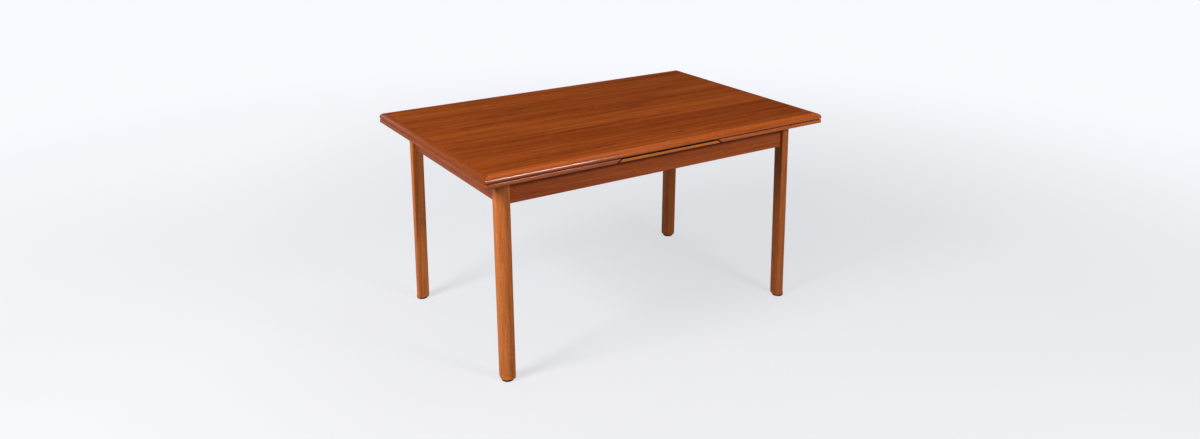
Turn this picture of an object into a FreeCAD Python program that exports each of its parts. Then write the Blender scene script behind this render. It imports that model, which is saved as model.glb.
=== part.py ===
import FreeCAD, Part
import math
import os

# Draw leaf dining table in teak, closed, as an assembly of its separate pieces.
# Millimetres. +Z is up, +X runs along the length, the front long side is at -Y.
# The origin is on the floor under the middle of the top.
# The two leaves are alike: the right one is the left one turned half round about Z.

Vector = FreeCAD.Vector
ORIGIN = Vector(0, 0, 0)
UP = Vector(0, 0, 1)
HALF_TURN = 180.0
NUT_SIDES = 6

# Overall sizes
table_length = 1340.0
table_width = 872.0
table_height = 730.0

# Top, leaves and bridge
top_thickness = 19.0
leaf_thickness = 13.0
leaf_gap = 3.0
felt_thickness = 5.5
felt_nap = 0.1
bridge_width = 382.0
bridge_bevel = 17.0
bevel_gap = 3.5
lipping_width = 20.0
inner_lipping_width = 30.0
tongue_depth = 8.0
tongue_thickness = 5.0
edge_land = 0.6
top_lower_round = 5.0
leaf_upper_round = 2.5
leaf_lower_round = 7.0
corner_round = 4.0
drop_clearance = 1.5
leaf_clearance = 4.0

# Legs and glides
leg_width = 41.0
leg_inset_end = 75.0
leg_inset_side = 73.0
leg_splay_x = 14.0
leg_splay_y = 19.0
leg_outer_radius = 25.0
leg_side_radius = 8.0
leg_inner_radius = 4.0
foot_round = 4.0
glide_diameter = 36.0
glide_height = 6.0
glide_edge = 1.5
glide_nail_diameter = 4.0
glide_nail_length = 18.0

# Aprons and their joints with the legs
apron_height = 87.5
apron_thickness = 22.0
long_apron_setback = 9.0
end_apron_setback = 13.0
apron_edge_round = 2.0
shadow_rebate = 9.0
tenon_length = 12.0
tenon_thickness = 10.0
tenon_cheek = 3.0
tenon_shoulder = 14.0

# Runners that carry the leaves, the rail that guides them and their stops
runner_width = 22.0
runner_depth = 24.0
runner_end_margin = 30.0
runner_end_chamfer = 10.0
runner_screw_margin = 24.0
runner_tail = 10.0
runner_lane_gap = 10.0
runner_block_gap = 8.0
side_clearance = 0.8
slide_clearance = 0.3
rail_thickness = 24.0
rail_housing = 8.0
rail_lift = 10.0
stop_diameter = 12.0
stop_drop = 12.0
stop_grip = 20.0

# Guide pegs that keep the loose top in place, and the felts that it lies on
peg_diameter = 20.0
peg_length = 45.0
peg_socket = 10.0
peg_clearance = 1.2
peg_round = 3.0
felt_ring_diameter = 46.0
felt_ring_gap = 27.0
felt_strip_width = 20.0
felt_strip_inset = 31.0
felt_strip_end_gap = 60.0

# Corner blocks with their bolts
block_gap = 8.0
block_thickness = 25.0
block_margin = 14.0
bolt_diameter = 8.0
bolt_spacing = 32.0
bolt_leg_depth = 28.0
bolt_clearance = 0.5
bolt_tip = 4.0
washer_diameter = 20.0
washer_thickness = 1.6
nut_width = 13.0
nut_height = 6.5

# Wood screws and the cleats that hold the bridge down
glue_line = 0.05
screw_diameter = 4.0
screw_head_diameter = 8.0
screw_head_height = 2.6
screw_pocket_clearance = 0.8
screw_bite = 11.0
screw_seat = 12.0
block_screw_seat = 8.0
cleat_size = 20.0
cleat_end_gap = 26.0
cleat_screw_margin = 55.0

# Levels and planes worked out from those sizes
half_length = table_length / 2
half_width = table_width / 2
top_under = table_height - top_thickness
leaf_top = top_under - leaf_gap
leaf_under = leaf_top - leaf_thickness
bridge_top = top_under - felt_thickness
bridge_thickness = bridge_top - leaf_under
frame_top = leaf_under - leaf_clearance
apron_bottom = frame_top - apron_height
leg_face_x = half_length - leg_inset_end
leg_face_y = half_width - leg_inset_side
apron_outer_x = leg_face_x - end_apron_setback
apron_outer_y = leg_face_y - long_apron_setback
apron_inner_x = apron_outer_x - apron_thickness
apron_inner_y = apron_outer_y - apron_thickness
rail_bottom = apron_bottom + rail_lift
block_bottom = apron_bottom + block_margin
block_top = frame_top - block_margin
block_middle = (block_bottom + block_top) / 2
bridge_foot = bridge_width / 2 + bridge_bevel
felt_strip_x = bridge_width / 2 - felt_strip_inset
peg_x = felt_strip_x - felt_strip_width / 2 - felt_ring_gap - felt_ring_diameter / 2
cleat_half = bridge_width / 2 - cleat_end_gap
cleat_screw_x = cleat_half - cleat_screw_margin

# The leaf climbs by the top's thickness and the gap under it while it is drawn clear of the top
draw_distance = half_length - bridge_width / 2 - bevel_gap + drop_clearance
draw_rise = top_thickness + leaf_gap
draw_slope = draw_rise / draw_distance

# Outer tip of the runner, its inner end and the middle of its stop, left leaf at rest
runner_outer_x = -half_length + runner_end_margin
runner_joint_x = -(bridge_foot + bevel_gap)
stop_x = rail_thickness / 2 + draw_distance + slide_clearance + stop_diameter / 2
runner_inner_x = stop_x + stop_diameter / 2 + runner_tail


def box(x0, x1, y0, y1, z0, z1):
    """A block between two corners, given axis by axis."""
    return Part.makeBox(x1 - x0, y1 - y0, z1 - z0, Vector(x0, y0, z0))


def plan_prism(points, z0, z1):
    """A plan outline drawn at z0 and raised to z1."""
    corners = [Vector(x, y, z0) for x, y in points]
    face = Part.Face(Part.makePolygon(corners + corners[:1]))
    return face.extrude(Vector(0, 0, z1 - z0))


def side_prism(points, y0, y1):
    """An outline in the XZ plane drawn at y0 and carried to y1."""
    corners = [Vector(x, y0, z) for x, z in points]
    face = Part.Face(Part.makePolygon(corners + corners[:1]))
    return face.extrude(Vector(0, y1 - y0, 0))


def rod(start, direction, length, diameter):
    """A round bar of the given diameter."""
    return Part.makeCylinder(diameter / 2, length, start, direction)


def turned(shape):
    """The shape turned half round about the table's upright axis."""
    copy = shape.copy()
    copy.rotate(ORIGIN, UP, HALF_TURN)
    return copy


def mirrored(shape, sign_x, sign_y):
    """The shape of the back right corner carried to another corner."""
    result = shape.copy()
    if sign_x < 0:
        result = result.mirror(ORIGIN, Vector(1, 0, 0))
    if sign_y < 0:
        result = result.mirror(ORIGIN, Vector(0, 1, 0))
    return result


def level_edges(shape, z):
    """Edges that lie wholly at one height."""
    return [e for e in shape.Edges if all(abs(v.Z - z) < 1e-6 for v in e.Vertexes)]


def upright_edges(shape):
    """Edges that stand parallel to Z."""
    found = []
    for edge in shape.Edges:
        ends = edge.Vertexes
        if len(ends) == 2 and math.hypot(ends[0].X - ends[1].X, ends[0].Y - ends[1].Y) < 1e-6:
            found.append(edge)
    return found


def edged_board(along, z0, thickness, upper_round, lower_round):
    """The table's full plan as a board with its corners eased and its edges along X or Y shaped."""
    blank = box(-half_length, half_length, -half_width, half_width, z0, z0 + thickness)
    board = blank
    for z, radius in ((z0, lower_round), (z0 + thickness, upper_round)):
        edges = level_edges(board, z)
        chosen = [e for e in edges if (e.BoundBox.XLength > e.BoundBox.YLength) == (along == "x")]
        board = board.makeFillet(radius, chosen)
    return board.common(blank.makeFillet(corner_round, upright_edges(blank)))


def top_board(along):
    """The top before it is parted: a large round above, running into a small one below."""
    upper_round = top_thickness - edge_land - top_lower_round
    return edged_board(along, top_under, top_thickness, upper_round, top_lower_round)


def leaf_board(along, thickness):
    """The leaves' and bridge's layer before it is parted: nearly square above, rounded below."""
    return edged_board(along, leaf_under, thickness, leaf_upper_round, leaf_lower_round)


def inset_sides(x0, x1, y0, y1, width):
    """Plan outlines of the four mitred strips along the inside of a rectangle."""
    outer = {"fl": (x0, y0), "fr": (x1, y0), "bl": (x0, y1), "br": (x1, y1)}
    inner = {
        "fl": (x0 + width, y0 + width),
        "fr": (x1 - width, y0 + width),
        "bl": (x0 + width, y1 - width),
        "br": (x1 - width, y1 - width),
    }
    ends = {"front": ("fl", "fr"), "back": ("br", "bl"), "left": ("bl", "fl"), "right": ("fr", "br")}
    return {side: [outer[a], outer[b], inner[b], inner[a]] for side, (a, b) in ends.items()}


def tongues(x0, x1, y0, y1, z0, thickness):
    """The four tongues that enter a panel's edges, by side."""
    middle = z0 + thickness / 2
    strips = inset_sides(x0, x1, y0, y1, tongue_depth)
    low = middle - tongue_thickness / 2
    return {side: plan_prism(outline, low, low + tongue_thickness) for side, outline in strips.items()}


def top_pieces():
    """Panel, four mitred lippings and guide pegs of the loose top."""
    boards = {"front": top_board("x"), "left": top_board("y")}
    boards["back"] = boards["front"]
    boards["right"] = boards["left"]
    inner_x = half_length - lipping_width
    inner_y = half_width - lipping_width
    tongue = tongues(-inner_x, inner_x, -inner_y, inner_y, top_under, top_thickness)
    strips = inset_sides(-half_length, half_length, -half_width, half_width, lipping_width)
    pieces = {}
    for side, outline in strips.items():
        strip = boards[side].common(plan_prism(outline, top_under, table_height))
        pieces["top_lipping_" + side] = strip.fuse(tongue[side]).removeSplitter()
    panel = box(-inner_x, inner_x, -inner_y, inner_y, top_under, table_height)
    panel = panel.cut(Part.makeCompound(list(tongue.values())))
    pegs = []
    for x in (-peg_x, peg_x):
        socket = Vector(x, 0, top_under)
        panel = panel.cut(rod(socket, UP, peg_socket, peg_diameter + 2 * glue_line))
        foot = Vector(x, 0, top_under - peg_length)
        peg = rod(foot, UP, peg_length + peg_socket - glue_line, peg_diameter)
        pegs.append(peg.makeFillet(peg_round, level_edges(peg, foot.z)))
    pieces["top_panel"] = panel
    pieces["guide_pegs"] = Part.makeCompound(pegs)
    return pieces


def felt_ring_pieces():
    """Loose felt rings round the guide pegs, between bridge and top."""
    rings = []
    for x in (-peg_x, peg_x):
        foot = Vector(x, 0, bridge_top)
        ring = rod(foot, UP, felt_thickness - felt_nap, felt_ring_diameter)
        hole = rod(foot, UP, felt_thickness, peg_diameter + 2 * peg_clearance)
        rings.append(ring.cut(hole))
    return {"felt_rings": Part.makeCompound(rings)}


def bridge_bevel_x(z):
    """Where the bridge's bevelled right end lies at height z."""
    return bridge_width / 2 + bridge_bevel * (leaf_top - z) / leaf_thickness


def leaf_bevel_x(z):
    """Where the left leaf's bevelled inner end lies at height z."""
    return -(bridge_bevel_x(z) + bevel_gap)


def runner_low(x):
    """Height of the left leaf's runner's lower edge at x."""
    return leaf_under - runner_depth - (x + apron_outer_x) * draw_slope


def runner_high(x):
    """Height of the left leaf's runner's upper edge where it runs under the bridge."""
    return leaf_under - slide_clearance - (x - runner_joint_x) * draw_slope


def runner_lanes():
    """Y of the left leaf's front and back runner, beside the lanes of the right leaf's."""
    corner_y = leg_inner_corner(block_middle).y
    corner_x = leg_inner_corner(block_middle).x
    reach = (block_gap + block_thickness) * math.sqrt(2)
    block_end_y = corner_y - reach - (apron_inner_x - corner_x)
    outer_lane = block_end_y - runner_block_gap - runner_width / 2
    inner_lane = outer_lane - runner_width - runner_lane_gap
    return {"front": -outer_lane, "back": inner_lane}


def runner_screw_places():
    """X of the screws that hold a runner to the left leaf."""
    first = -half_length + lipping_width + runner_screw_margin
    last = runner_joint_x - inner_lipping_width - runner_screw_margin
    return [first, (first + last) / 2, last]


def upright_screw(x, y, seat_z, tip_z):
    """A pan head wood screw driven upwards."""
    shank = rod(Vector(x, y, seat_z), UP, tip_z - seat_z, screw_diameter)
    head = rod(Vector(x, y, seat_z - screw_head_height), UP, screw_head_height, screw_head_diameter)
    return shank.fuse(head).removeSplitter()


def upright_screw_hole(x, y, mouth_z, seat_z, tip_z):
    """The pocket from mouth to seat and the pilot hole above it."""
    pocket_diameter = screw_head_diameter + 2 * screw_pocket_clearance
    pocket = rod(Vector(x, y, mouth_z), UP, seat_z - mouth_z, pocket_diameter)
    pilot = rod(Vector(x, y, seat_z), UP, tip_z - seat_z + glue_line, screw_diameter + 2 * glue_line)
    return pocket.fuse(pilot)


def runner_blank(y):
    """A runner before its holes: flat under the leaf, then tapering under the bridge."""
    y0 = y - runner_width / 2
    tip_low = runner_low(runner_outer_x)
    outline = [
        (runner_outer_x, leaf_under),
        (runner_joint_x, leaf_under),
        (runner_joint_x, runner_high(runner_joint_x)),
        (runner_inner_x, runner_high(runner_inner_x)),
        (runner_inner_x, runner_low(runner_inner_x)),
        (runner_outer_x + runner_end_chamfer, runner_low(runner_outer_x + runner_end_chamfer)),
        (runner_outer_x, tip_low + runner_end_chamfer),
    ]
    return side_prism(outline, y0, y0 + runner_width)


def runner_passage(y, x0, x1):
    """The open-topped slot that a runner of the left leaf slides through between x0 and x1."""
    half = runner_width / 2 + side_clearance
    outline = [
        (x0, runner_low(x0) - slide_clearance),
        (x1, runner_low(x1) - slide_clearance),
        (x1, leaf_top),
        (x0, leaf_top),
    ]
    return side_prism(outline, y - half, y + half)


def left_leaf_pieces():
    """Panel, lippings, runners, screws and stops of the left leaf, without the side's name."""
    reach = [
        (-table_length, leaf_under - leaf_thickness),
        (leaf_bevel_x(leaf_under - leaf_thickness), leaf_under - leaf_thickness),
        (leaf_bevel_x(leaf_top + leaf_thickness), leaf_top + leaf_thickness),
        (-table_length, leaf_top + leaf_thickness),
    ]
    reach_prism = side_prism(reach, -table_width, table_width)
    boards = {"front": leaf_board("x", leaf_thickness).common(reach_prism)}
    boards["left"] = leaf_board("y", leaf_thickness).common(reach_prism)
    boards["back"] = boards["front"]
    boards["right"] = boards["front"]
    panel_x0 = -half_length + lipping_width
    panel_x1 = runner_joint_x - inner_lipping_width
    inner_y = half_width - lipping_width
    tongue = tongues(panel_x0, panel_x1, -inner_y, inner_y, leaf_under, leaf_thickness)
    outlines = {
        "front": [(-half_length, -half_width), (0, -half_width), (0, -inner_y), (panel_x0, -inner_y)],
        "back": [(0, half_width), (-half_length, half_width), (panel_x0, inner_y), (0, inner_y)],
        "left": [
            (-half_length, half_width),
            (-half_length, -half_width),
            (panel_x0, -inner_y),
            (panel_x0, inner_y),
        ],
        "right": [(panel_x1, -inner_y), (0, -inner_y), (0, inner_y), (panel_x1, inner_y)],
    }
    place = {"front": "front", "back": "back", "left": "end", "right": "inner"}
    pieces = {}
    for side, outline in outlines.items():
        strip = boards[side].common(plan_prism(outline, leaf_under, leaf_top))
        pieces["leaf_lipping_" + place[side]] = strip.fuse(tongue[side]).removeSplitter()
    panel = box(panel_x0, panel_x1, -inner_y, inner_y, leaf_under, leaf_top)
    panel = panel.cut(Part.makeCompound(list(tongue.values())))
    screws = []
    stops = []
    seat_z = leaf_under - screw_seat
    tip_z = leaf_under + screw_bite
    for name, y in runner_lanes().items():
        runner = runner_blank(y)
        for x in runner_screw_places():
            hole = upright_screw_hole(x, y, runner_low(x) - runner_depth, seat_z, tip_z)
            runner = runner.cut(hole)
            panel = panel.cut(hole)
            screws.append(upright_screw(x, y, seat_z, tip_z))
        foot_z = runner_low(stop_x) - stop_drop
        hole = rod(Vector(stop_x, y, foot_z), UP, stop_drop + stop_grip, stop_diameter + 2 * glue_line)
        stops.append(rod(Vector(stop_x, y, foot_z), UP, stop_drop + stop_grip - glue_line, stop_diameter))
        pieces["runner_" + name] = runner.cut(hole)
    pieces["leaf_panel"] = panel
    pieces["runner_screws"] = Part.makeCompound(screws)
    pieces["runner_stops"] = Part.makeCompound(stops)
    return pieces


def leaf_pieces():
    """Both leaves. What is at the front of one is at the back of the other."""
    swap = {"front": "back", "back": "front"}
    pieces = {}
    for name, shape in left_leaf_pieces().items():
        stem, _, last = name.rpartition("_")
        pieces["left_" + name] = shape
        pieces["right_" + stem + "_" + swap.get(last, last)] = turned(shape)
    return pieces


def bridge_screw_places():
    """X and Y of the screws that hold the bridge down to its cleats."""
    y = apron_inner_y - cleat_size / 2
    return [(x, side * y) for side in (-1, 1) for x in (-cleat_screw_x, cleat_screw_x)]


def bridge_pieces():
    """The fixed bridge between the leaves, its lippings, felts, cleats and screws."""
    board = leaf_board("x", bridge_thickness)
    section = [
        (-bridge_foot, leaf_under),
        (bridge_foot, leaf_under),
        (bridge_bevel_x(bridge_top), bridge_top),
        (-bridge_bevel_x(bridge_top), bridge_top),
    ]
    inner_y = half_width - lipping_width
    middle = leaf_under + bridge_thickness / 2
    pieces = {}
    panel = side_prism(section, -inner_y, inner_y)
    for name, sign in (("front", -1), ("back", 1)):
        near, far = sorted((sign * inner_y, sign * half_width))
        strip = board.common(side_prism(section, near, far))
        near, far = sorted((sign * inner_y, sign * (inner_y - tongue_depth)))
        half_tongue = tongue_thickness / 2
        tongue = box(-half_length, half_length, near, far, middle - half_tongue, middle + half_tongue)
        tongue = tongue.common(panel)
        panel = panel.cut(tongue)
        pieces["bridge_lipping_" + name] = strip.fuse(tongue).removeSplitter()
    for x in (-peg_x, peg_x):
        hole = rod(Vector(x, 0, leaf_under), UP, bridge_thickness, peg_diameter + 2 * peg_clearance)
        panel = panel.cut(hole)
    cleats = {}
    for name, sign in (("front", -1), ("back", 1)):
        near, far = sorted((sign * apron_inner_y, sign * (apron_inner_y - cleat_size)))
        cleat = box(-cleat_half, cleat_half, near, far, leaf_under - cleat_size, leaf_under)
        gap = box(-rail_thickness / 2, rail_thickness / 2, near, far, leaf_under - cleat_size, leaf_under)
        cleats[name] = cleat.cut(gap)
    screws = []
    seat_z = leaf_under - screw_seat
    tip_z = leaf_under + screw_bite
    for x, y in bridge_screw_places():
        hole = upright_screw_hole(x, y, leaf_under - cleat_size, seat_z, tip_z)
        panel = panel.cut(hole)
        name = "front" if y < 0 else "back"
        cleats[name] = cleats[name].cut(hole)
        screws.append(upright_screw(x, y, seat_z, tip_z))
    strip_y = half_width - felt_strip_end_gap
    felts = []
    for x in (-felt_strip_x, felt_strip_x):
        edge = x - felt_strip_width / 2
        height = top_under - felt_nap
        felts.append(box(edge, edge + felt_strip_width, -strip_y, strip_y, bridge_top, height))
    pieces["bridge_panel"] = panel
    pieces["bridge_felts"] = Part.makeCompound(felts)
    pieces["bridge_screws"] = Part.makeCompound(screws)
    for name, cleat in cleats.items():
        pieces["bridge_cleat_" + name] = cleat
    return pieces


def leg_offset(z):
    """How far the splayed leg has moved out at height z, from its place at the frame's top."""
    share = (frame_top - z) / frame_top
    return Vector(leg_splay_x * share, leg_splay_y * share, 0)


def leg_inner_corner(z):
    """The inner corner of the back right leg at height z."""
    return Vector(leg_face_x - leg_width, leg_face_y - leg_width, z) + leg_offset(z)


def leg_fall():
    """The way from the leg's top to its foot, down and outwards."""
    return leg_offset(glide_height) - Vector(0, 0, frame_top - glide_height)


def square_leg():
    """The back right leg with its four corners square, as far as its faces carry the aprons."""
    near = leg_inner_corner(frame_top)
    far = near + Vector(leg_width, leg_width, 0)
    corners = [near, Vector(far.x, near.y, near.z), far, Vector(near.x, far.y, near.z)]
    return Part.Face(Part.makePolygon(corners + corners[:1])).extrude(leg_fall())


def leg_blank():
    """The back right leg before its holes: square, outer corner well rounded, splayed."""
    x1 = leg_face_x
    y1 = leg_face_y
    x0 = x1 - leg_width
    y0 = y1 - leg_width
    radii = [leg_inner_radius, leg_side_radius, leg_outer_radius, leg_side_radius]
    corners = [(x0, y0, 1, 1), (x1, y0, -1, 1), (x1, y1, -1, -1), (x0, y1, 1, -1)]
    edges = []
    arcs = []
    for (x, y, inward_x, inward_y), radius in zip(corners, radii):
        centre = Vector(x + inward_x * radius, y + inward_y * radius, frame_top)
        on_x = Vector(x, centre.y, frame_top)
        on_y = Vector(centre.x, y, frame_top)
        middle = centre - Vector(inward_x, inward_y, 0) * (radius / math.sqrt(2))
        first, last = (on_x, on_y) if inward_x == inward_y else (on_y, on_x)
        arcs.append((first, middle, last))
    for index, (first, middle, last) in enumerate(arcs):
        edges.append(Part.Arc(first, middle, last).toShape())
        following = arcs[(index + 1) % len(arcs)][0]
        edges.append(Part.LineSegment(last, following).toShape())
    leg = Part.Face(Part.Wire(edges)).extrude(leg_fall())
    return leg.makeFillet(foot_round, level_edges(leg, glide_height))


def leg_foot_middle():
    """The middle of the back right leg's foot, on top of its glide."""
    return leg_inner_corner(glide_height) + Vector(leg_width / 2, leg_width / 2, 0)


def glide_piece():
    """The back right leg's glide: a turned disc with its nail."""
    middle = leg_foot_middle()
    disc = rod(Vector(middle.x, middle.y, 0), UP, glide_height, glide_diameter)
    disc = disc.makeFillet(glide_edge, level_edges(disc, 0))
    nail = rod(Vector(middle.x, middle.y, glide_height), UP, glide_nail_length, glide_nail_diameter)
    return disc.fuse(nail).removeSplitter()


def tenon_box(side):
    """The stub tenon of the long or the end apron at the back right leg."""
    corner = leg_inner_corner(apron_bottom)
    low = apron_bottom + tenon_shoulder
    high = frame_top - tenon_shoulder
    half = tenon_thickness / 2
    if side == "long":
        y = apron_outer_y - tenon_cheek - half
        return box(corner.x - tenon_length, corner.x + tenon_length, y - half, y + half, low, high)
    x = apron_outer_x - tenon_cheek - half
    return box(x - half, x + half, corner.y - tenon_length, corner.y + tenon_length, low, high)


def at_corners(shape, signs):
    """Copies of a back right piece at the corners given, as one compound."""
    return Part.makeCompound([mirrored(shape, sign_x, sign_y) for sign_x, sign_y in signs])


def round_lower_edges(apron, along):
    """Ease the two long lower edges of an apron that runs along X or Y."""
    chosen = []
    for edge in level_edges(apron, apron_bottom):
        box_of_edge = edge.BoundBox
        run = box_of_edge.XLength if along == "x" else box_of_edge.YLength
        if run > apron_height:
            chosen.append(edge)
    return apron.makeFillet(apron_edge_round, chosen)


def apron_pieces():
    """Four aprons, shouldered against the splayed legs and tenoned into them."""
    pieces = {}
    leg = square_leg()
    reach_x = leg_face_x - leg_width / 2
    reach_y = leg_face_y - leg_width / 2
    front_legs = at_corners(leg, ((-1, -1), (1, -1)))
    long_apron = box(-reach_x, reach_x, -apron_outer_y, -apron_inner_y, apron_bottom, leaf_under)
    reliefs = [
        (-reach_x, -bridge_foot, -apron_inner_y),
        (bridge_foot, reach_x, -apron_inner_y),
        (-bridge_foot, bridge_foot, -apron_outer_y + shadow_rebate),
    ]
    for x0, x1, back in reliefs:
        relief = box(x0, x1, -apron_outer_y, back, frame_top, leaf_under)
        long_apron = long_apron.cut(relief)
    half_rail = rail_thickness / 2
    deep = -apron_inner_y - rail_housing
    housing = box(-half_rail, half_rail, deep, -apron_inner_y, rail_bottom, leaf_under)
    long_apron = round_lower_edges(long_apron.cut(front_legs), "x")
    long_apron = long_apron.cut(housing)
    long_apron = long_apron.fuse(at_corners(tenon_box("long"), ((-1, -1), (1, -1)))).removeSplitter()
    pieces["apron_front"] = long_apron
    pieces["apron_back"] = turned(long_apron)
    left_legs = at_corners(leg, ((-1, -1), (-1, 1)))
    end_apron = box(-apron_outer_x, -apron_inner_x, -reach_y, reach_y, apron_bottom, frame_top)
    end_apron = round_lower_edges(end_apron.cut(left_legs), "y")
    for y in runner_lanes().values():
        end_apron = end_apron.cut(runner_passage(y, -leg_face_x, -apron_inner_x + runner_width))
    end_apron = end_apron.fuse(at_corners(tenon_box("end"), ((-1, -1), (-1, 1)))).removeSplitter()
    pieces["apron_left"] = end_apron
    pieces["apron_right"] = turned(end_apron)
    return pieces


def runner_rail():
    """The cross rail under the bridge with a slot for each runner."""
    half = rail_thickness / 2
    end_y = apron_inner_y + rail_housing
    rail = box(-half, half, -end_y, end_y, rail_bottom, leaf_under)
    for y in runner_lanes().values():
        passage = runner_passage(y, -rail_thickness, rail_thickness)
        rail = rail.cut(passage).cut(turned(passage))
    return rail


def bolt_heights():
    """Heights of the two bolts of one leg."""
    return [block_middle - bolt_spacing / 2, block_middle + bolt_spacing / 2]


def corner_block_outline():
    """Plan outline of the back right corner block, from apron to apron."""
    corner = leg_inner_corner(block_middle)
    past_x = apron_inner_x - corner.x
    past_y = apron_inner_y - corner.y
    near = block_gap * math.sqrt(2)
    far = (block_gap + block_thickness) * math.sqrt(2)
    return [
        (apron_inner_x, corner.y - near - past_x),
        (corner.x - near - past_y, apron_inner_y),
        (corner.x - far - past_y, apron_inner_y),
        (apron_inner_x, corner.y - far - past_x),
    ]


def corner_block_with_screws():
    """The back right corner block and the two screws that hold it to the aprons."""
    outline = corner_block_outline()
    block = plan_prism(outline, block_bottom, block_top)
    inward = Vector(-1, -1, 0).normalize()
    hole_length = block_gap + block_thickness + leg_width
    hole_diameter = bolt_diameter + 2 * bolt_clearance
    for z in bolt_heights():
        block = block.cut(rod(leg_inner_corner(z), inward, hole_length, hole_diameter))
    along_x = (outline[1][0] + outline[2][0]) / 2
    along_y = (outline[0][1] + outline[3][1]) / 2
    places = [
        (Vector(along_x, apron_inner_y - block_screw_seat, block_middle), Vector(0, 1, 0)),
        (Vector(apron_inner_x - block_screw_seat, along_y, block_middle), Vector(1, 0, 0)),
    ]
    screws = []
    holes = []
    pocket_diameter = screw_head_diameter + 2 * screw_pocket_clearance
    for seat, direction in places:
        length = block_screw_seat + screw_bite
        shank = rod(seat, direction, length, screw_diameter)
        head = rod(seat - direction * screw_head_height, direction, screw_head_height, screw_head_diameter)
        screws.append(shank.fuse(head).removeSplitter())
        pocket = rod(seat - direction * block_thickness, direction, block_thickness, pocket_diameter)
        pilot = rod(seat, direction, length + glue_line, screw_diameter + 2 * glue_line)
        holes.append(pocket.fuse(pilot))
    for hole in holes:
        block = block.cut(hole)
    return block, screws, holes


def bolt_with_nut(z):
    """One bolt of the back right leg, its washer and its hexagon nut."""
    inward = Vector(-1, -1, 0).normalize()
    corner = leg_inner_corner(z)
    block_face = leg_inner_corner(block_middle)
    start = corner - inward * bolt_leg_depth
    face_distance = (block_face - corner).dot(inward) + block_gap + block_thickness
    length = bolt_leg_depth + face_distance + washer_thickness + nut_height + bolt_tip
    bolt = rod(start, inward, length, bolt_diameter)
    hole_diameter = bolt_diameter + 2 * glue_line
    washer_at = corner + inward * face_distance
    washer = rod(washer_at, inward, washer_thickness, washer_diameter)
    washer = washer.cut(rod(washer_at, inward, washer_thickness, hole_diameter))
    nut_at = washer_at + inward * washer_thickness
    across = Vector(1, -1, 0).normalize()
    corners = []
    for step in range(NUT_SIDES):
        angle = 2 * math.pi * step / NUT_SIDES
        radius = nut_width / math.sqrt(3)
        corners.append(nut_at + across * (radius * math.cos(angle)) + UP * (radius * math.sin(angle)))
    nut = Part.Face(Part.makePolygon(corners + corners[:1])).extrude(inward * nut_height)
    nut = nut.cut(rod(nut_at, inward, nut_height, hole_diameter))
    leg_hole = rod(start, inward, bolt_leg_depth + leg_width / 2, hole_diameter)
    return bolt, washer, nut, leg_hole


def frame_pieces():
    """Legs, glides, aprons, rail, corner blocks and their fasteners."""
    pieces = apron_pieces()
    block, block_screws, block_holes = corner_block_with_screws()
    glide = glide_piece()
    foot = leg_foot_middle()
    nail_hole = rod(foot, UP, glide_nail_length + glue_line, glide_nail_diameter + 2 * glue_line)
    leg = leg_blank().cut(nail_hole)
    leg = leg.cut(tenon_box("long")).cut(tenon_box("end"))
    fasteners = {"leg_bolts": [], "leg_bolt_washers": [], "leg_bolt_nuts": []}
    leg_holes = []
    for z in bolt_heights():
        bolt, washer, nut, leg_hole = bolt_with_nut(z)
        leg = leg.cut(leg_hole)
        leg_holes.append(leg_hole)
        fasteners["leg_bolts"].append(bolt)
        fasteners["leg_bolt_washers"].append(washer)
        fasteners["leg_bolt_nuts"].append(nut)
    fasteners["corner_block_screws"] = block_screws
    corners = {"back_right": (1, 1), "back_left": (-1, 1), "front_right": (1, -1), "front_left": (-1, -1)}
    for name, (sign_x, sign_y) in corners.items():
        pieces["leg_" + name] = mirrored(leg, sign_x, sign_y)
        pieces["glide_" + name] = mirrored(glide, sign_x, sign_y)
        pieces["corner_block_" + name] = mirrored(block, sign_x, sign_y)
        long_apron = "apron_back" if sign_y > 0 else "apron_front"
        end_apron = "apron_right" if sign_x > 0 else "apron_left"
        for apron, hole in zip((long_apron, end_apron), block_holes):
            for drilled in [hole] + leg_holes:
                pieces[apron] = pieces[apron].cut(mirrored(drilled, sign_x, sign_y))
    for name, shapes in fasteners.items():
        copies = [mirrored(shape, *signs) for shape in shapes for signs in corners.values()]
        pieces[name] = Part.makeCompound(copies)
    pieces["runner_rail"] = runner_rail()
    return pieces


def main():
    """Build every piece and write it under its own name."""
    os.makedirs("parts", exist_ok=True)
    for group in (top_pieces(), felt_ring_pieces(), leaf_pieces(), bridge_pieces(), frame_pieces()):
        for name, shape in group.items():
            shape.exportStep("parts/" + name + ".step")
            print(name, len(shape.Solids), "solid", round(shape.Volume, 1), "mm3", shape.isValid())


main()
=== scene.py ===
import logging
import math
from dataclasses import dataclass, field, replace
from enum import Enum

import bmesh
import bpy
from mathutils import Matrix, Vector


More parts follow.
